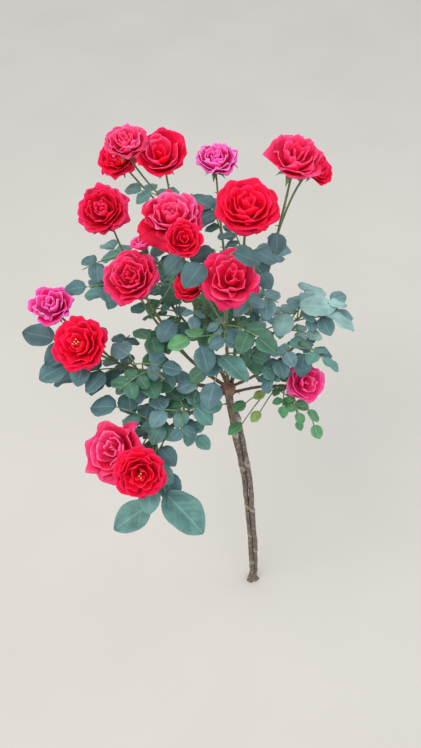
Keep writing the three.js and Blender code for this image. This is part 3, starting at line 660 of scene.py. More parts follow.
def barkMaterial(name, dark, light, pale, rough, furrow):
    # Old bark is dry and matt. Its furrows run up the stem, one every "furrow" mm, with grey
    # patches of lichen, pale callus on the joints and painted shade on the sides where the stems meet.
    material, tree, place = startMaterial(name, {"Roughness": rough, "Specular IOR Level": 0.25})
    scale = 1000.0 / furrow
    long = addNode(tree, "Mapping", {"Scale": (scale, scale, scale * 0.14), "Vector": place["Object"]})
    ridges = {"Scale": 1.0, "Detail": 5.0, "Roughness": 0.6, "Vector": long}
    ridges = addNode(tree, "TexNoise", ridges)
    spots = addNode(tree, "TexNoise", {"Scale": 160.0, "Detail": 3.0, "Vector": place["Object"]})  # 6 mm
    base = addNode(tree, "ValToRGB", {"Fac": ridges, "stops": [(0.3, dark), (0.62, light)]})
    grey = addNode(tree, "ValToRGB", {"Fac": spots, "stops": [(0.52, 0.0), (0.66, 0.55)]})
    callus, groove = [
        addNode(tree, "Attribute", {"attribute_name": key}).outputs["Fac"] for key in ("callus", "groove")
    ]
    # Painted shade: the bark turns darker on the sides that face the other stem.
    shaded = addNode(tree, "ValToRGB", {"Fac": groove, "stops": [(0.3, 0.0), (0.9, 0.7)]})
    for share, tone in ((grey, pale), (callus, pale), (shaded, dark)):
        base = addNode(tree, "Mix", {"data_type": "RGBA", 0: share, 6: base, 7: colour(tone)})
    return finishMaterial(material, base, ridges, 0.7, 0.8)


def caneMaterial(name, low, high, blush, rough):
    # Young bark is smooth and turns from brown below to green above, with a red blush in the sun.
    material, tree, place = startMaterial(name, {"Roughness": rough, "Specular IOR Level": 0.4})
    spot = addNode(tree, "SeparateXYZ", {0: place["Object"]})
    span = {"From Min": 0.77, "From Max": 0.88, "To Min": -0.4, "To Max": 0.6}
    climb = addNode(tree, "MapRange", {**span, "Value": spot.outputs["Z"]})
    patch = addNode(tree, "TexNoise", {"Scale": 70.0, "Detail": 3.0, "Vector": place["Object"]})  # 14 mm
    mixed = addNode(tree, "Math", {"operation": "MULTIPLY_ADD", 0: patch, 1: 0.8, 2: climb})
    base = addNode(tree, "ValToRGB", {"Fac": mixed, "stops": [(0.1, low), (0.8, high)]})
    red = addNode(tree, "ValToRGB", {"Fac": patch, "stops": [(0.5, 0.0), (0.75, 0.6)]})
    base = addNode(tree, "Mix", {"data_type": "RGBA", 0: red, 6: base, 7: colour(blush)})
    grain = addNode(tree, "TexNoise", {"Scale": 900.0, "Detail": 2.0, "Vector": place["Object"]})  # 1 mm
    return finishMaterial(material, base, grain, 0.3, 0.3)


def plainMaterial(name, first, second, size, rough):
    # Sawn wood, horn, stalks and stamens are cloudy, with patches "size" mm across.
    material, tree, place = startMaterial(name, {"Roughness": rough, "Specular IOR Level": 0.3})
    patch = {"Scale": 1000.0 / size, "Detail": 3.0, "Vector": place["Object"]}
    patch = addNode(tree, "TexNoise", patch)
    base = addNode(tree, "ValToRGB", {"Fac": patch, "stops": [(0.35, first), (0.65, second)]})
    return finishMaterial(material, base, patch, 0.4, 0.4)


def newObject(name, data):
    made = bpy.data.objects.new(name, data)
    bpy.context.collection.objects.link(made)
    return made


def newMesh(bm, name, materials):
    mesh = bpy.data.meshes.new(name)
    bm.to_mesh(mesh)
    bm.free()
    for material in materials:
        mesh.materials.append(material)
    return mesh


# One template mesh stands for each repeated shape. Its vertices are moved into place, and the
# copy is added to the piece that it belongs to.
def asShape(bm):
    for face in bm.faces:
        face.smooth = True
    mesh = newMesh(bm, "shape", [])
    co = np.zeros(len(mesh.vertices) * 3)
    mesh.vertices.foreach_get("co", co)
    return {"mesh": mesh, "co": co.reshape(-1, 3)}


def cylinderShape(sides, steps):
    bm = bmesh.new()
    bmesh.ops.create_cone(bm, cap_ends=True, segments=sides, radius1=1, radius2=1, depth=1)
    uprights = [e for e in bm.edges if abs(e.verts[0].co.z - e.verts[1].co.z) > 0.5]
    if steps > 1:
        bmesh.ops.subdivide_edges(bm, edges=uprights, cuts=steps - 1, use_grid_fill=True)
    return asShape(bm)


def gridShape(along, across):
    bm = bmesh.new()
    bm.loops.layers.uv.new("UVMap")
    bmesh.ops.create_grid(bm, x_segments=along, y_segments=across, size=1, calc_uvs=True)
    return asShape(bm)


def ballShape(sides, rings):
    bm = bmesh.new()
    bmesh.ops.create_uvsphere(bm, u_segments=sides, v_segments=rings, radius=1)
    return asShape(bm)


def addShape(piece, shape, points, slot=0):  # points are in millimetres
    mesh = shape["mesh"]
    mesh.vertices.foreach_set("co", (points * mm).ravel())
    mesh.polygons.foreach_set("material_index", [slot] * len(mesh.polygons))
    piece.from_mesh(mesh)


def inFrame(origin, axes, *steps):  # points at these steps along the axes
    return origin + sum(np.outer(step, axis) for step, axis in zip(steps, axes))


def finishPiece(piece, name, materials, nodes, thickness=0, back=0):
    mesh = newMesh(piece, name, materials)
    made = newObject(name, mesh)
    if thickness:  # the back of the wall has its own materials
        wall = made.modifiers.new("thickness", "SOLIDIFY")
        wall.thickness = thickness * mm
        wall.offset = 0
        wall.material_offset = back
        wall.material_offset_rim = 0
    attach(made, "root")
    if nodes:
        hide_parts(*nodes)
    print(name, len(mesh.polygons), "faces")
    return made


def ringsOf(shape):  # the levels of an upright shape from 0 to 1, and each corner point's level
    heights = np.round(shape["co"][:, 2], 5)
    levels = np.unique(heights)
    return levels + 0.5, np.searchsorted(levels, heights)


def alongCurve(curve, shares):  # places, and two directions square to the curve at each
    places = np.array([curve.at(s) for s in shares])
    chord = curve.at(1) - curve.at(0)
    across = np.cross(chord, np.array([0.13, 0.21, 1.0]))
    if np.linalg.norm(across) < 0.2 * np.linalg.norm(chord):
        across = np.cross(chord, np.array([1.0, 0.2, 0]))
    ways = [unit(curve.slope(share)) for share in shares]
    firsts = np.array([unit(across - way * across.dot(way)) for way in ways])
    return places, firsts, np.cross(ways, firsts)


def addLimb(piece, curve, first, last, shape, slot=0, swell=None):
    co = shape["co"]
    levels, ring = ringsOf(shape)
    places, ones, twos = alongCurve(curve, levels)
    share = co[:, 2] + 0.5
    radius = first + (last - first) * share
    if swell:
        radius = radius * np.array([swell(s) for s in share])
    x, y = co[:, :1] * radius[:, None], co[:, 1:2] * radius[:, None]
    addShape(piece, shape, places[ring] + ones[ring] * x + twos[ring] * y, slot)


slim, stalkShape = cylinderShape(5, 5), cylinderShape(8, 12)

# Trunk: twin stems with furrowed bark, pale swollen joints, and a graft knob with sawn faces.
trunk = {
    "stemRadius": [5.2, 4.4],  # at the foot and under the knob
    "stemOffset": 4.7,
    "secondStemTop": 0.92,
    "stemSway": 28,
    "closeFrom": 0.85,  # where the stems start to run together
    "headSwell": [0.8, 7],  # from where, and how fast, the first stem widens into the knob
    "roundFrom": 0.965,  # where the end of the second one rounds off
    "crook": 1.6,
    "flareRadius": 15,
    "flareHeight": 34,
    "flareLobes": [[3, 0.16, 0.7], [7, 0.06, 0]],  # how many, how deep, turned by
    "joints": [[118, 0], [184, 1], [262, 0], [388, 1], [397, 0], [545, 0], [556, 1], [652, 0], [688, 1]],
    "jointSwell": 0.3,
    "jointHeight": 5.5,
    "jointTilt": 5,
    "furrowDepth": 0.65,
    "furrows": [[1, 0, 3.4, 9.0], [0.5, 40, 1.8, 5.0]],  # depth, shift, width, how much longer
    "lumps": [0.5, 16, 2.5],
    "knobDepth": 30,
    "knobLumps": [[0.16, 7, 7.0], [0.06, 0, 2.4]],
    "knobCut": 0.42,
    "stubWay": [-70, 62],
    "stubLength": 16,
    "stubRadius": 4.4,
    "sawnRadius": [5.4, 5.0],
    "thorns": [[726, 195, 19], [640, 20, 7], [560, 170, 8], [452, 215, 7], [300, 330, 7]],
    "thornWidth": 2.0,
    "thornRise": 22,
    "thornTip": 0.12,
    "thornHook": 0.25,
}


def smoothAlong(points, share):  # a smooth curve through the points, evenly paced
    place = (len(points) - 1) * share
    index = min(int(place), len(points) - 2)
    t = place - index
    p1, p2 = points[index], points[index + 1]
    p0 = points[index - 1] if index > 0 else 2 * p1 - p2
    p3 = points[index + 2] if index + 2 < len(points) else 2 * p2 - p1
    d0, d1, d2 = [math.sqrt(float(np.linalg.norm(b - a))) for a, b in ((p0, p1), (p1, p2), (p2, p3))]
    t1 = ((p1 - p0) / d0 - (p2 - p0) / (d0 + d1) + (p2 - p1) / d1) * d1
    t2 = ((p2 - p1) / d1 - (p3 - p1) / (d1 + d2) + (p3 - p2) / d2) * d1
    return p1 + t1 * t + (3 * (p2 - p1) - 2 * t1 - t2) * t * t + (2 * (p1 - p2) + t1 + t2) * t ** 3


class Line:  # a smooth curve through many points, used like a Bend
    def __init__(self, points):
        self.points = points

    def at(self, share):
        return smoothAlong(self.points, min(max(share, 0), 1))

    def slope(self, share):
        return self.at(share + 0.01) - self.at(share - 0.01)


def stemLine(side, top):
    points = []
    for i in range(13):
        share = i / 12 * top
        sway = math.radians(trunk["stemSway"] * math.sin(share * 9))
        offset = side * trunk["stemOffset"] * (1 - 4 * max(0, share - trunk["closeFrom"]))
        shift = np.array([offset * math.cos(sway), offset * math.sin(sway), 0])
        points.append(smoothAlong(axisPoints, share) + shift)
    return Line(points)


def ripple(point, size, stretch=1.0):  # smooth random value from -1 to 1, "size" mm across
    return noise.noise(Vector((point[0] / size, point[1] / size, point[2] / size / stretch)))


barkPiece = bmesh.new()
barkStem = cylinderShape(20, 260)
levels, ring = ringsOf(barkStem)
marks = {"callus": [], "groove": []}  # for each corner point of the stems, in the order they are added
for side, top in ((-1, 1), (1, trunk["secondStemTop"])):
    places, ones, twos = alongCurve(stemLine(side, top), levels)
    footRadius, headRadius = trunk["stemRadius"]
    swellFrom, headSwell = trunk["headSwell"]
    points = []
    for (x, y, z), k in zip(barkStem["co"], ring):
        share = levels[k]
        out = ones[k] * x + twos[k] * y
        bend = trunk["crook"] * min(1, share * 6) * (1 - share ** 4)
        stray = [ripple([share * 13, 0.2 * side, shift], 1) for shift in (0.5, 7.5)]
        centre = places[k] + bend * np.array([*stray, 0])
        radius = footRadius + (headRadius - footRadius) * share
        if side < 0:
            radius += headSwell * max(0, share - swellFrom)
        elif share > trunk["roundFrom"]:
            end = (share - trunk["roundFrom"]) / (1 - trunk["roundFrom"])
            radius *= math.sqrt(max(0.05, 1 - end ** 2))
        callus = 0
        for height, whose in trunk["joints"]:
            if whose == (side > 0):
                tilt = trunk["jointTilt"] * out[0] * (-1 if height % 3 == 0 else 1)
                tilt += 3 * ripple(centre + out * 5, 5)
                near = math.exp(-(((centre[2] - height + tilt) / trunk["jointHeight"]) ** 2))
                face = 0.9 + 0.7 * ripple(out * 2 + height, 1.7)
                radius *= 1 + trunk["jointSwell"] * near * max(0.2, face)
                callus = max(callus, near * min(1, max(0, face)))
        rub = centre + out * radius
        furrow = sum(deep * abs(ripple(rub + shift, *size)) for deep, shift, *size in trunk["furrows"])
        lump, *lumpSize = trunk["lumps"]
        radius += trunk["furrowDepth"] * (0.3 - furrow) + lump * ripple(centre + out * 4, *lumpSize)
        points.append(centre + out * radius)
        inward = smoothAlong(axisPoints, share * top) - centre
        marks["callus"].append(callus)
        # How much this point faces the other stem, where the bark gets painted shade.
        marks["groove"].append(max(0, out.dot(inward) / max(1, np.linalg.norm(inward))) ** 2)
    points = np.array(points)
    points[:, 2] = np.maximum(points[:, 2], 0)
    addShape(barkPiece, barkStem, points, 0 if side < 0 else 1)


def flarePoint(x, y, z):  # lobed where the roots leave under the soil
    share = z + 0.5
    turn = math.atan2(y, x)
    lobes = sum(deep * math.cos(many * turn + by) for many, deep, by in trunk["flareLobes"])
    radius = trunk["flareRadius"] * (0.52 + 0.4 * (1 - share) ** 1.8) * (1 + (1 - share) * lobes)
    radius += 0.5 * ripple([x * 9, y * 9, share * 20], 3.2)
    return x * radius - 1.5 * share, y * radius * 0.8, share * trunk["flareHeight"]


def knobPoint(x, y, z):  # a lump of callus, cut flat on top
    way = np.array([x, y, z]) * 10
    lump = 1 + sum(deep * ripple(way + shift, size) for deep, shift, size in trunk["knobLumps"])
    wide = growth["knobRadius"] * lump * (1 + 0.1 * z)
    high = min(z / 2 * lump, trunk["knobCut"])
    return x * wide, y * wide, high * trunk["knobDepth"]


foot, knob = cylinderShape(28, 14), ballShape(28, 20)
knobCentre = np.array([growth["knobLean"], 0, growth["knobHeight"] - 2], float)
addShape(barkPiece, foot, np.array([flarePoint(*co) for co in foot["co"]]), 0)
addShape(barkPiece, knob, knobCentre + [knobPoint(*co) for co in knob["co"]], 2)

# The stub of an older limb and the knob's top both end in a sawn face.
stubRoot = knobCentre + [0, 0, 2]
stubEnd = heading(*trunk["stubWay"]) * trunk["stubLength"]
stub = Bend(stubRoot, stubRoot + stubEnd / 2, stubRoot + stubEnd)
wide = trunk["stubRadius"]
addLimb(barkPiece, stub, wide, wide * 0.92, cylinderShape(16, 6), 2)
disc = cylinderShape(16, 1)
addLimb(barkPiece, Bend(*[stub.at(s) for s in (0.99, 1.005, 1.02)]), wide * 0.84, wide * 0.8, disc, 3)
topFace = Bend(*[knobCentre + [1, 1, height] for height in (11.8, 12.4, 13)])
addLimb(barkPiece, topFace, *trunk["sawnRadius"], disc, 3)
thornShape = cylinderShape(6, 4)


def thornSwell(share):  # broad at its root
    return 1 + 0.5 * (1 - share) ** 3


def addThorn(piece, root, bearing, rise, length, width, slot):
    way = heading(bearing, rise)
    tip = root + way * length - np.array([0, 0, trunk["thornHook"] * length])
    curve = Bend(root, root + way * length * 0.55, tip)
    addLimb(piece, curve, width, trunk["thornTip"], thornShape, slot, thornSwell)


for height, bearing, length in trunk["thorns"]:
    root = smoothAlong(axisPoints, (height + 8) / (growth["knobHeight"] + 8))
    root[2] = height
    addThorn(barkPiece, root, bearing, trunk["thornRise"], length, trunk["thornWidth"], 4)

bark = [
    barkMaterial("olive_bark", "#40362C", "#7A6D5F", "#A8A192", 0.85, 2.2),
    barkMaterial("brown_bark", "#44352F", "#80706B", "#ABA098", 0.82, 2.2),
    barkMaterial("callus_bark", "#5A4034", "#8F6E5C", "#A38D7C", 0.85, 3.5),
    plainMaterial("sawn_wood", "#4E2F2A", "#7C5247", 1.2, 0.7),
    plainMaterial("thorn_horn", "#4A3A30", "#7A5A48", 2.0, 0.5),
]
barkMesh = finishPiece(barkPiece, "trunk_bark", bark, ["trunk"]).data
for name, values in marks.items():
    values += [0] * (len(barkMesh.vertices) - len(values))
    barkMesh.attributes.new(name, "FLOAT", "POINT").data.foreach_set("value", values)

# Canes: boughs and stems are smooth young wood, with leaf scars and hooked prickles.
caneLook = {
    "scarEvery": 24, "scarSwell": 0.14, "prickleEvery": 19, "prickleLength": 4.2,
    "prickleWidth": 0.91, "prickleSize": [0.7, 0.5], "prickleRise": 10,
}
boughPiece, twigPiece = bmesh.new(), bmesh.new()
caneShape = cylinderShape(8, 24)
for shoot in shootList:
    draw = seeded(shoot["seed"] + 3000)
    thin = shoot["endRadius"] * growth["stemThinning"]
    for part, piece, first, last in (
        ("bough", boughPiece, shoot["thick"], shoot["endRadius"]),
        ("stem", twigPiece, shoot["endRadius"], thin),
    ):
        curve = shoot[part]
        length = curve.length()
        scars = max(1, round(length / caneLook["scarEvery"]))
        shift = draw()

        def swell(share):
            near = (share * scars + shift) % 1 - 0.5
            return 1 + caneLook["scarSwell"] * math.exp(-((near * 9) ** 2))

        addLimb(piece, curve, first, last, caneShape, 0, swell)
        for k in range(int(length / caneLook["prickleEvery"])):
            share = min(0.95, (k + draw()) * caneLook["prickleEvery"] / length)
            size = drawn(draw, caneLook["prickleSize"])
            long, wide = size * caneLook["prickleLength"] + first, size * caneLook["prickleWidth"]
            addThorn(piece, curve.at(share), draw() * 360, caneLook["prickleRise"], long, wide, 1)
boughMaterials = [
    caneMaterial("cane_bark", "#5A4638", "#5E7A42", "#7A4A3C", 0.5),
    plainMaterial("prickle_horn", "#7A4A38", "#B08060", 1.5, 0.45),
]
finishPiece(boughPiece, "canes", boughMaterials, ["bough_" + name for name in shoots])

# Leaves: up to five leaflets each, with a toothed edge, folded a little along the midrib.
leaf = {
    "fold": [0.08, 0.26],
    "curl": 0.14,
    "wave": 0.035,
    "twist": 0.02,
    "tipRounding": 1.35,
    "fullness": 0.58,
    "thickness": 0.35,
    "stalk": 0.75,
    "largeFrom": 42,  # longer leaflets are the large, quilted ones
    "veins": 8,  # on each half of a blade, and how far they slant
    "veinSlant": 2.5,
    "fineTries": 14,
    "fineSize": [0.85, 0.3],
    "fineStalk": [1.5, 0.6],
    "fineRise": [-13.6, 34],
    "sparse": ["upper_left"],  # without lower leaflets
    "tones": {
        "front": ["deep", "silver", "fresh", "slate"],
        "centre": ["slate", "silver", "slate"],
        "top_right": ["slate", "silver", "sea"],
        "top_middle": ["sea", "slate", "slate"],
        "middle": ["sea", "sea", "silver"],
        "top_left": ["sea", "slate", "deep"],
        "inner_left": ["slate", "sea", "deep"],
        "upper_left": ["sea", "slate", "slate"],
        "outer_left": ["dusk", "slate", "dusk"],
        "left": ["slate", "deep", "dusk", "deep", "silver"],
        "low_left": ["sea", "sea", "slate"],
        "low_front": ["sea", "slate", "silver", "deep"],
        "over_knob": ["slate", "slate", "sea"],
        "heart": ["deep", "fresh", "deep", "silver"],
        "low_right": ["fresh", "fresh", "fresh", "young"],
        "right_front": ["silver", "slate", "sea"],
        "right_back": ["pale", "pale", "silver"],
        "back": ["deep", "fresh", "sea"],
        "back_left": ["deep", "sea", "fresh"],
    },
}
toneNames = list(leafTones)
bladeKinds = [
    {"shape": gridShape(12, 4), "steps": 12, "tooth": 0.021, "broad": 1.08, "quilt": 0},
    {"shape": gridShape(48, 16), "steps": 48, "tooth": 0.018, "broad": 0.9288, "quilt": 0.014},
]
anyPhase = 6.3  # radians, a whole turn for a drawn number


def turned(first, second, turn):  # two directions turned together in their own plane
    cos, sin = math.cos(turn), math.sin(turn)
    return first * cos + second * sin, second * cos - first * sin


def bladeOutline(ahead):  # broad and egg-shaped, with a short tip
    full = np.sin(np.pi * np.clip(ahead, 0, 1) ** 0.88) ** leaf["fullness"]
    return full * (1 - 0.25 * np.clip((ahead - 0.8) / 0.2, 0, 1) ** 1.5) + 0.012


def addLeaflet(piece, one, draw, slot):
    kind = bladeKinds[one["length"] > leaf["largeFrom"]]
    step = np.clip((kind["shape"]["co"][:, 0] + 1) / 2, 0, 1)
    across = kind["shape"]["co"][:, 1]
    aside = np.abs(across)
    ahead = 1 - (1 - step) ** leaf["tipRounding"]  # the rows are closer at the tip
    odd = np.round(step * kind["steps"]) % 2 == 1
    teeth = np.where(aside < 0.99, 1, np.where(odd, 1 + kind["tooth"], 1 - kind["tooth"]))
    fold = drawn(draw, leaf["fold"])
    phase = draw() * anyPhase
    curl = (draw() - 0.5) * leaf["curl"]
    length = one["length"]
    wide = bladeOutline(ahead) * teeth * one["half"] * kind["broad"]
    height = fold * aside ** 1.3 * wide * 0.6
    height -= (growth["leafDroop"] + curl) * length * ahead ** 2
    height += leaf["wave"] * length * np.sin(ahead * 11 + phase) * across ** 2
    height += leaf["twist"] * length * np.sin(ahead * 6 + phase * 2) * across
    if kind["quilt"]:  # the blade sinks along its side veins
        ribs = np.cos(2 * np.pi * (leaf["veins"] * step - leaf["veinSlant"] * aside))
        inside = np.clip(np.sin(np.pi * np.clip(aside * 1.2, 0, 1)), 0, 1)
        height += kind["quilt"] * length * ribs * inside ** 0.6
    axes = one["along"], -one["side"], one["normal"]
    points = inFrame(one["root"], axes, ahead * length, across * wide, height)
    addShape(piece, kind["shape"], points, slot)


# The head of the trunk stays bare in front, up to the line of sight.
bareHead = {"middle": 6, "half": 32, "front": 5, "above": 14, "sight": 1.35}


def hidesTrunk(blade):
    x, y, z = blade["root"] + blade["along"] * blade["length"] / 2
    if y > bareHead["front"] or abs(x - growth["knobLean"] - bareHead["middle"]) > bareHead["half"]:
        return False
    return z < growth["knobHeight"] + bareHead["above"] - bareHead["sight"] * y


def lowerLeaflets(owner, rows, draw):  # the pair nearest the stem, where there is room
    for leafRow in rows:
        if leafRow["alone"]:
            continue
        for place in growth["lowerPair"]:
            one = leafletOn(leafRow, place, draw, owner)
            if bladeFits(one, growth["placedLean"]) and not hidesTrunk(one):
                leafRow["blades"].append(one)
                grown.keepBlades([one])


# Single leaves in front of blooms and between the source's leaves: bearing, reach and height of
# the middle, length, the bearing it points to, its fall in degrees, its share of the stem, tone.
between = {
    "front": [[191, 44, 976, 35, 235, 14, 0.3, "dusk"]],
    "inner_left": [[157, 73, 958, 32, 205, 34, 0.6, "dusk"]],
    "centre": [[330, 15, 1000, 31, 348, 14, 0.45, "dusk"], [52, 66, 950, 28, 350, 20, 0.45, "slate"]],
    "heart": [[121, 70, 946, 30, 190, 16, 1.0, "dusk"]],
    "upper_left": [[165, 200, 900, 30, 182, 4, 0.35, "slate"]],
    "over_knob": [
        [228, 61, 850, 26, 215, 20, 0.3, "deep"], [237, 58, 884, 32, 290, 30, 0.2, "slate"],
    ],
    "low_front": [[214, 66, 818, 28, 200, 15, 0.1, "silver"], [232, 100, 806, 24, 240, 10, 0.2, "sea"]],
    "right_front": [
        [333, 34, 830, 24, 290, 15, 0.0, "deep"], [337, 52, 822, 22, 320, 30, 0.2, "sea"],
        [351, 92, 830, 30, 262, 40, 0.9, "slate"],
    ],
}
# The end leaflets of these masses' first leaves swing and roll, in degrees, and lift their tips.
swung = {"right_back": [[-38, 0.24, 0]], "outer_left": [[0, 0, 35]]}
fine = {  # small inner leaves: how many each mass gets, and how long their leaflets are
    "front": [3, 20], "centre": [3, 20], "middle": [4, 22], "inner_left": [1, 22],
    "heart": [10, 22], "left": [5, 24], "low_front": [4, 22],
    "right_front": [5, 22], "right_back": [4, 24], "back": [9, 24], "back_left": [9, 24],
    "low_right": [3, 16], "low_left": [3, 22], "outer_left": [3, 24],
}


def growFine(owner, plan):
    shoot = shootList[owner]
    for bearing, reach, height, size, way, fall, share, tone in between.get(plan["name"], []):
        along = heading(way, -fall)
        base = polar(bearing, reach, height) - along * size / 2
        root = shoot["stem"].at(share)
        middle = (root + base) / 2 - along * 0.2 * np.linalg.norm(base - root)
        one = bladeOf(base, along, np.array([0.1, -0.2, 1.0]), size, owner)
        row = {"curve": Bend(root, middle, base), "blades": [one], "alone": True, "tone": tone}
        keepLeaf(plan, row, owner)
    many, size = fine.get(plan["name"], [0, 0])
    draw = seeded(shoot["seed"] + 5000)
    spin = draw() * 360
    for k in range(many):
        root = shoot["stem"].at((k + 0.6 * draw()) / many * 0.9)
        small = size * drawn(draw, leaf["fineSize"])
        for _ in range(leaf["fineTries"]):
            spin = (spin + growth["goldenTurn"]) % 360
            rise = shoot["leafRise"] + drawn(draw, leaf["fineRise"])
            shape = [root, spin, rise, small, small * drawn(draw, leaf["fineStalk"])]
            one = compoundLeaf(owner, shape, draw, growth["fewestLeaflets"], growth["spaceLean"])
            if one and not any(hidesTrunk(blade) for blade in one["blades"]):
                keepLeaf(plan, one, owner)
                break


full = [owner for owner, plan in enumerate(plans) if plan["name"] not in leaf["sparse"]]
for owner in full:
    lowerLeaflets(owner, plans[owner]["leaves"], seeded(shootList[owner]["seed"] + 4000))
for owner, plan in enumerate(plans):
    growFine(owner, plan)
for owner in full:  # the inner leaves get theirs, and where there are none, all leaves try again
    added = fine.get(plans[owner]["name"], [0])[0]
    lowerLeaflets(owner, plans[owner]["leaves"][-added:], seeded(owner + 60))
for plan in plans:
    for leafRow, (swing, lift, roll) in zip(plan["leaves"], swung.get(plan["name"], [])):
        one = leafRow["blades"][0]
        along, side = turned(one["along"], one["side"], math.radians(swing))
        side, normal = turned(side, one["normal"], math.radians(roll))
        one["along"], one["side"] = unit(along + normal * lift), side
        one["normal"] = unit(normal - along * lift)
print("leaves:", sum(len(plan["leaves"]) for plan in plans), "leaflets:", len(grown.blades))

leafMaterials = [leafMaterial("leaf_" + name, *leafTones[name], 0.52) for name in toneNames]
underside = leafMaterial("leaf_under_pale", "#7E9C8A", "#A8BCA6", 0.7)
leafPieces = [bmesh.new(), bmesh.new()]
for owner, plan in enumerate(plans):
    draw = seeded(shootList[owner]["seed"] + 6000)
    tones = leaf["tones"][plan["name"]]
    for row in plan["leaves"]:
        tone = toneNames.index(row.get("tone", tones[int(draw() * len(tones))]))
        for one in row["blades"]:
            addLeaflet(leafPieces[owner % 2], one, draw, tone)
        addLimb(twigPiece, row["curve"], leaf["stalk"] * 1.5, leaf["stalk"], slim, 2)
for k, name in enumerate(("leaves_a", "leaves_b")):
    nodes = ["mass_" + shoot["name"] for shoot in shootList[k::2]]
    sides = leafMaterials + [underside] * len(leafMaterials)
    finishPiece(leafPieces[k], name, sides, nodes, leaf["thickness"], len(leafMaterials))

# Blooms: petals leave the heart a golden turn apart, from small and upright to wide and rolled.
# "cup" closes the bloom, "roll" turns the rims down, "ruffle" waves them, "loose" strays and
# "wide" is the width of the outer petals. "hang" lets petals down on the side that "hangs" names.
formColumns = ["petals", "cup", "roll", "ruffle", "loose", "wide", "grow", "hang", "hangs"]
bloomForms = {
    "rosette": [30, 0.30, 0.75, 0.070, 0.30, 0.54, 1, 0, 0],
    "hanging": [30, 0.35, 0.70, 0.080, 0.30, 0.56, 1, 0.5, 1.5],
    "flat": [24, 0.28, 0.80, 0.060, 0.26, 0.80, 1, 0, 0],
    "open": [16, 0.38, 0.75, 0.105, 0.38, 0.76, 1, 0, 0],
    "wrapped": [15, 0.85, 0.50, 0.060, 0.22, 0.90, 1, 0, 0],
    "cup": [18, 0.75, 0.40, 0.055, 0.20, 0.68, 1, 0, 0],
    "starry": [28, 0.15, 0.55, 0.075, 0.26, 0.52, 1, 0, 0],
    "loose": [11, 0.50, 0.55, 0.095, 0.36, 0.95, 1, 0, 0],
    "bud": [14, 0.95, 0.30, 0.040, 0.10, 0.95, 1.3, 0, 0],
}
blooms = {  # form, the tones of the petals from the rim to the heart, and how many stamens show
    "front": [["open", ["crimson", "pinkRed", "crimson"], 0], ["cup", ["deepRed"], 0]],
    "centre": [["flat", ["brightRed"], 0]],
    "top_right": [["open", ["pinkRed", "pinkRed", "crimson"], 0], ["cup", ["brightRed"], 0]],
    "top_middle": [["rosette", ["magenta", "orchid", "magenta"], 0]],
    "middle": [
        ["hanging", ["crimson", "rosePink", "rosePink", "pinkRed"], 0],
        ["cup", ["brightRed", "deepRed", "brightRed"], 0],
        ["bud", ["raspberry"], 0],
    ],
    "top_left": [
        ["wrapped", ["brightRed", "pinkRed", "brightRed"], 0],
        ["rosette", ["pinkRed", "rosePink", "pinkRed"], 0],
        ["rosette", ["brightRed"], 0],
    ],
    "inner_left": [["rosette", ["pinkRed", "crimson", "pinkRed", "crimson"], 0]],
    "upper_left": [["rosette", ["crimson", "deepRed", "crimson"], 0]],
    "outer_left": [["starry", ["brightRed"], 5], ["open", ["magenta", "orchid", "magenta"], 0]],
    "low_left": [["open", ["pinkRed", "rosePink"], 0], ["starry", ["brightRed"], 3]],
    "low_right": [["loose", ["raspberry"], 0]],
}
# Lengths are shares of the bloom's radius. A pair is a first value and what a draw adds to it,
# unless its line says what the two are.
petal = {
    "thickness": 0.45,  # mm
    "outerFrom": 0.45,
    "reach": [0.05, 0.98],  # in the heart, and how much further outside
    "reachStray": 1.3,
    "top": 0.47,
    "topFall": [0.52, 0.44],  # of the outer petals, and how much of it a cup takes back
    "topStray": 0.9,
    "halfWidth": 0.17,
    "widthStray": [0.92, 0.16],
    "opens": [0.2, 0.6],  # from where petals turn out, and over what share
    "claw": [0.02, -0.5],
    "shortSides": [0.17, -0.10],
    "turnStray": 2.2,
    "hangOut": 0.5,
    "hangDown": 0.8,
    # The deep red of the hanging petals is partly their own colour and partly painted shade under the
    # hanging side.
    "hangRedAndShade": [0.6, 0.4],  # from where, and on how narrow a side, these petals are deep red
    "toneStray": 0.9,
}
petalInner, petalOuter = gridShape(7, 5), gridShape(11, 6)
petalNames = list(petalTones)
goldenRadians = 2.39996


def petalOutline(along):  # narrow at the claw, and nearly as wide at the rim as in the middle
    lower = 0.28 + 0.72 * np.sin(np.clip(along / 0.66, 0, 1) * np.pi / 2)
    return lower * (1 - 0.12 * np.clip((along - 0.66) / 0.34, 0, 1) ** 2)


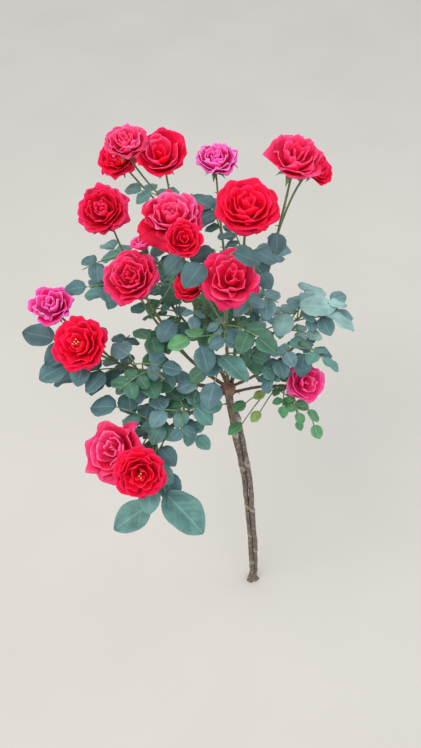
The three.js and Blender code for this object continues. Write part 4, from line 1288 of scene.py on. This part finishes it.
def addPetal(piece, bloom, form, t, turn, draw, slot):  # t goes from 0 in the heart to 1 outside
    shape = petalOuter if t > petal["outerFrom"] else petalInner
    across, along = shape["co"][:, 0], (shape["co"][:, 1] + 1) / 2
    r = bloom["width"] / 2
    stray = form["loose"]
    low, more = petal["reach"]
    reach = r * (low + more * math.sin(t * 1.5)) * (1 + stray * (draw() - 0.5) * (petal["reachStray"] - t))
    fall, cupped = petal["topFall"]
    top = r * (petal["top"] - (fall - cupped * form["cup"]) * t ** 2)
    top *= 1 + petal["topStray"] * stray * (draw() - 0.5)
    half = r * (petal["halfWidth"] + form["wide"] * t ** 0.8) * drawn(draw, petal["widthStray"])
    inner, over = petal["opens"]
    out = min(max((t - inner) / over, 0.0), 1.0)  # how far the petal opens outwards
    roll = form["roll"] * out
    start = np.array(petal["claw"]) * r
    first = np.array([reach * (0.75 - 0.25 * out), -0.16 * r - 0.22 * r * out])
    bulge = np.array([reach * (1.12 - 0.22 * roll), top - 0.3 * r * (1 - out) + 0.26 * r * roll])
    end = np.array([reach, top - 0.07 * r * roll])
    short = drawn(draw, petal["shortSides"])
    a = (along * (1 - short * along * np.abs(across) ** 2.4))[:, None]
    b = 1 - a
    path = b ** 3 * start + 3 * b * b * a * first + 3 * b * a * a * bulge + a ** 3 * end
    wave = form["ruffle"] * r * along ** 3 * (0.4 + 0.6 * t)
    one, two = draw() * anyPhase, draw() * anyPhase
    far = path[:, 0] + wave * (np.sin(across * 4.2 + one) + 0.4 * np.sin(across * 8.5 + two))
    high = path[:, 1] + wave * 1.3 * (np.sin(across * 4.8 + two) + 0.4 * np.sin(across * 9 + one))
    high -= 0.16 * r * out * roll * across ** 2 * along ** 2
    far += 0.04 * r * (1 - out) * across ** 2 * along
    angle = across * half * petalOutline(along) / np.maximum(far, 0.2 * r)
    angle = np.clip(angle, -2.4, 2.4) + turn + petal["turnStray"] * stray * (draw() - 0.5)
    hang = max(0, math.cos(turn - form["hangs"])) ** 3 * out * form["hang"]
    far *= 1 + petal["hangOut"] * hang * along ** 2
    high -= petal["hangDown"] * hang * r * along ** 2.5
    points = inFrame(bloom["at"], bloom["axes"], far * np.cos(angle), far * np.sin(angle), high)
    addShape(piece, shape, points, slot)


# Under each bloom a hip with five sepals, and in an open heart a few stamens. Shares of the
# bloom's radius again, but the last values of the hip and the stamens' sizes are millimetres.
greens = {
    "under": 0.56, "hip": [0.13, 0.15, 1.2, 1.5], "sepals": 5, "root": 0.08, "long": 0.44, "half": 0.13,
}
stamen = {
    "foot": -0.2, "top": [0.40, 0.08], "lean": [0.02, 0.07], "radii": [0.28, 0.22],
    "anther": [0.8, 0.8, 0.6], "room": 0.06,  # the share of the petals that they stand in for
}
sepal, drop, speck = gridShape(2, 5), ballShape(10, 8), ballShape(5, 4)


def addSepals(piece, bloom, spin):
    r = bloom["width"] / 2
    first, second, up = bloom["axes"]
    base = bloom["at"] - up * greens["under"] * r
    wideShare, tallShare, wide, tall = greens["hip"]
    wide, tall = wideShare * r + wide, tallShare * r + tall
    addShape(piece, drop, inFrame(base, bloom["axes"], *(drop["co"] * [wide, wide, tall]).T))
    along = (sepal["co"][:, 1] + 1) / 2
    half = greens["half"] * r * np.sin(np.pi * np.clip(along, 0.02, 0.98) ** 0.6)
    out = greens["root"] * r + greens["long"] * r * along
    lift = -0.1 * r + 0.16 * r * np.sin(along * 2.2) - 0.30 * r * along ** 2
    for k in range(greens["sepals"]):
        way = turned(first, second, spin + k * 2 * math.pi / greens["sepals"])[0]
        axes = way, np.cross(way, up), up
        addShape(piece, sepal, inFrame(base, axes, out, half * sepal["co"][:, 0], lift))


def addStamens(piece, bloom, many, draw):
    r = bloom["width"] / 2
    first, second, up = bloom["axes"]
    for k in range(many):
        lean = stamen["lean"][0] + stamen["lean"][1] * math.sqrt(k / many)
        way = turned(first, second, k * goldenRadians)[0]
        low = bloom["at"] + up * stamen["foot"] * r + way * lean * 0.4 * r
        high = bloom["at"] + up * r * drawn(draw, stamen["top"]) + way * lean * 1.5 * r
        addLimb(piece, Bend(low, (low + high) / 2 + way * 0.02 * r, high), *stamen["radii"], slim)
        addShape(piece, speck, high + speck["co"] * stamen["anther"], 1)


petalPiece, greenPiece, stamenPiece = bmesh.new(), bmesh.new(), bmesh.new()
shadeRedFrom, shadeRedSide = petal["hangRedAndShade"]
for owner, plan in enumerate(plans):
    draw = seeded(shootList[owner]["seed"] + 7000)
    for bloom, (formName, tones, stamens) in zip(plan["blooms"], blooms.get(plan["name"], [])):
        form = dict(zip(formColumns, bloomForms[formName]))
        bloom["width"] *= form["grow"]
        up = bloom["facing"]
        first = unit(np.cross(up, np.array([0.31, 0.9, 0.2])))
        bloom["axes"] = first, np.cross(up, first), up
        spin = draw() * anyPhase
        for i in range(form["petals"]):
            t = (i + 0.5) / form["petals"]
            if stamens and t < stamen["room"]:
                continue
            place = (1 - t) * len(tones) + petal["toneStray"] * (draw() - 0.5)
            tone = tones[min(max(int(place), 0), len(tones) - 1)]
            turn = spin + i * goldenRadians
            # Hanging outer petals turn deep red: partly their own colour, partly painted shade.
            if form["hang"] and t > shadeRedFrom and math.cos(turn - form["hangs"]) > shadeRedSide:
                tone = "deepRed"
            addPetal(petalPiece, bloom, form, t, turn, draw, petalNames.index(tone))
        addSepals(greenPiece, bloom, spin)
        addStamens(stamenPiece, bloom, stamens, draw)
for plan in plans:
    for curve, first, last in plan["twigs"]:
        addLimb(twigPiece, curve, first, last * 0.95, stalkShape)

tones = petalTones.items()
petalSides = [petalMaterial("petal_" + name, face, rimAndHighlight) for name, (face, rimAndHighlight, back) in tones]
petalSides += [petalMaterial("petal_back_" + name, back, rimAndHighlight) for name, (face, rimAndHighlight, back) in tones]
finishPiece(petalPiece, "petals", petalSides, [], petal["thickness"], len(petalNames))
sepalGreen = plainMaterial("sepal_green", "#4C7040", "#6B9256", 3.0, 0.6)
finishPiece(greenPiece, "sepals", [sepalGreen], [])
finishPiece(stamenPiece, "stamens", [
    plainMaterial("filament", "#F0B890", "#F8DCB8", 1.0, 0.5),
    plainMaterial("pollen", "#E0B060", "#F4DC98", 0.8, 0.8),
], [])
finishPiece(twigPiece, "twigs", [
    caneMaterial("twig_bark", "#574A36", "#5F7048", "#7A4A3C", 0.5),
    boughMaterials[1],
    plainMaterial("leaf_stalk", "#55704A", "#70885A", 6.0, 0.55),
], [])

# Stage: a plain pale floor, soft light from above, and the camera of the photograph's view.
stage = {
    "floor": ["#C0BBB3", "#C3BEB6"],
    "world": [(0.93, 0.96, 1, 1), 1.12],
    "lights": {  # place, size, power and tint
        "key": [(-1.2, -0.9, 3.0), 1.6, 38, (1, 0.985, 0.96)],
        "fill": [(1.8, 0.6, 2.2), 1.8, 9, (0.95, 0.97, 1)],
    },
    "lightsFace": (-0.1, 0.05, 0.85),
    "view": {"place": (-0.1007, -0.4735, 1.4), "pitch": 52, "lens": 28},
}
bm = bmesh.new()
bmesh.ops.create_grid(bm, x_segments=1, y_segments=1, size=4)
floorTone = plainMaterial("studio_floor", *stage["floor"], 400.0, 0.9)
newObject("floor", newMesh(bm, "floor", [floorTone]))

for name, (place, size, power, tint) in stage["lights"].items():
    lightData = bpy.data.lights.new(name, "AREA")
    lightData.shape = "DISK"
    lightData.size = size
    lightData.energy = power
    lightData.color = tint
    lamp = newObject(name, lightData)
    lamp.location = place
    down = Vector(stage["lightsFace"]) - Vector(place)
    lamp.rotation_euler = down.to_track_quat("-Z", "Y").to_euler()
world = bpy.data.worlds.new("studio")
world.use_nodes = True
for socket, value in zip(world.node_tree.nodes["Background"].inputs, stage["world"]):
    socket.default_value = value
bpy.context.scene.world = world
bpy.context.scene.view_settings.view_transform = "Standard"

cameraData = bpy.data.cameras.new("camera")
cameraData.lens = stage["view"]["lens"]
cameraData.sensor_width = 36
cameraData.clip_start = 0.02
camera = newObject("camera", cameraData)
camera.location = stage["view"]["place"]
camera.rotation_euler = (math.radians(90 - stage["view"]["pitch"]), 0, 0)
bpy.context.scene.camera = camera
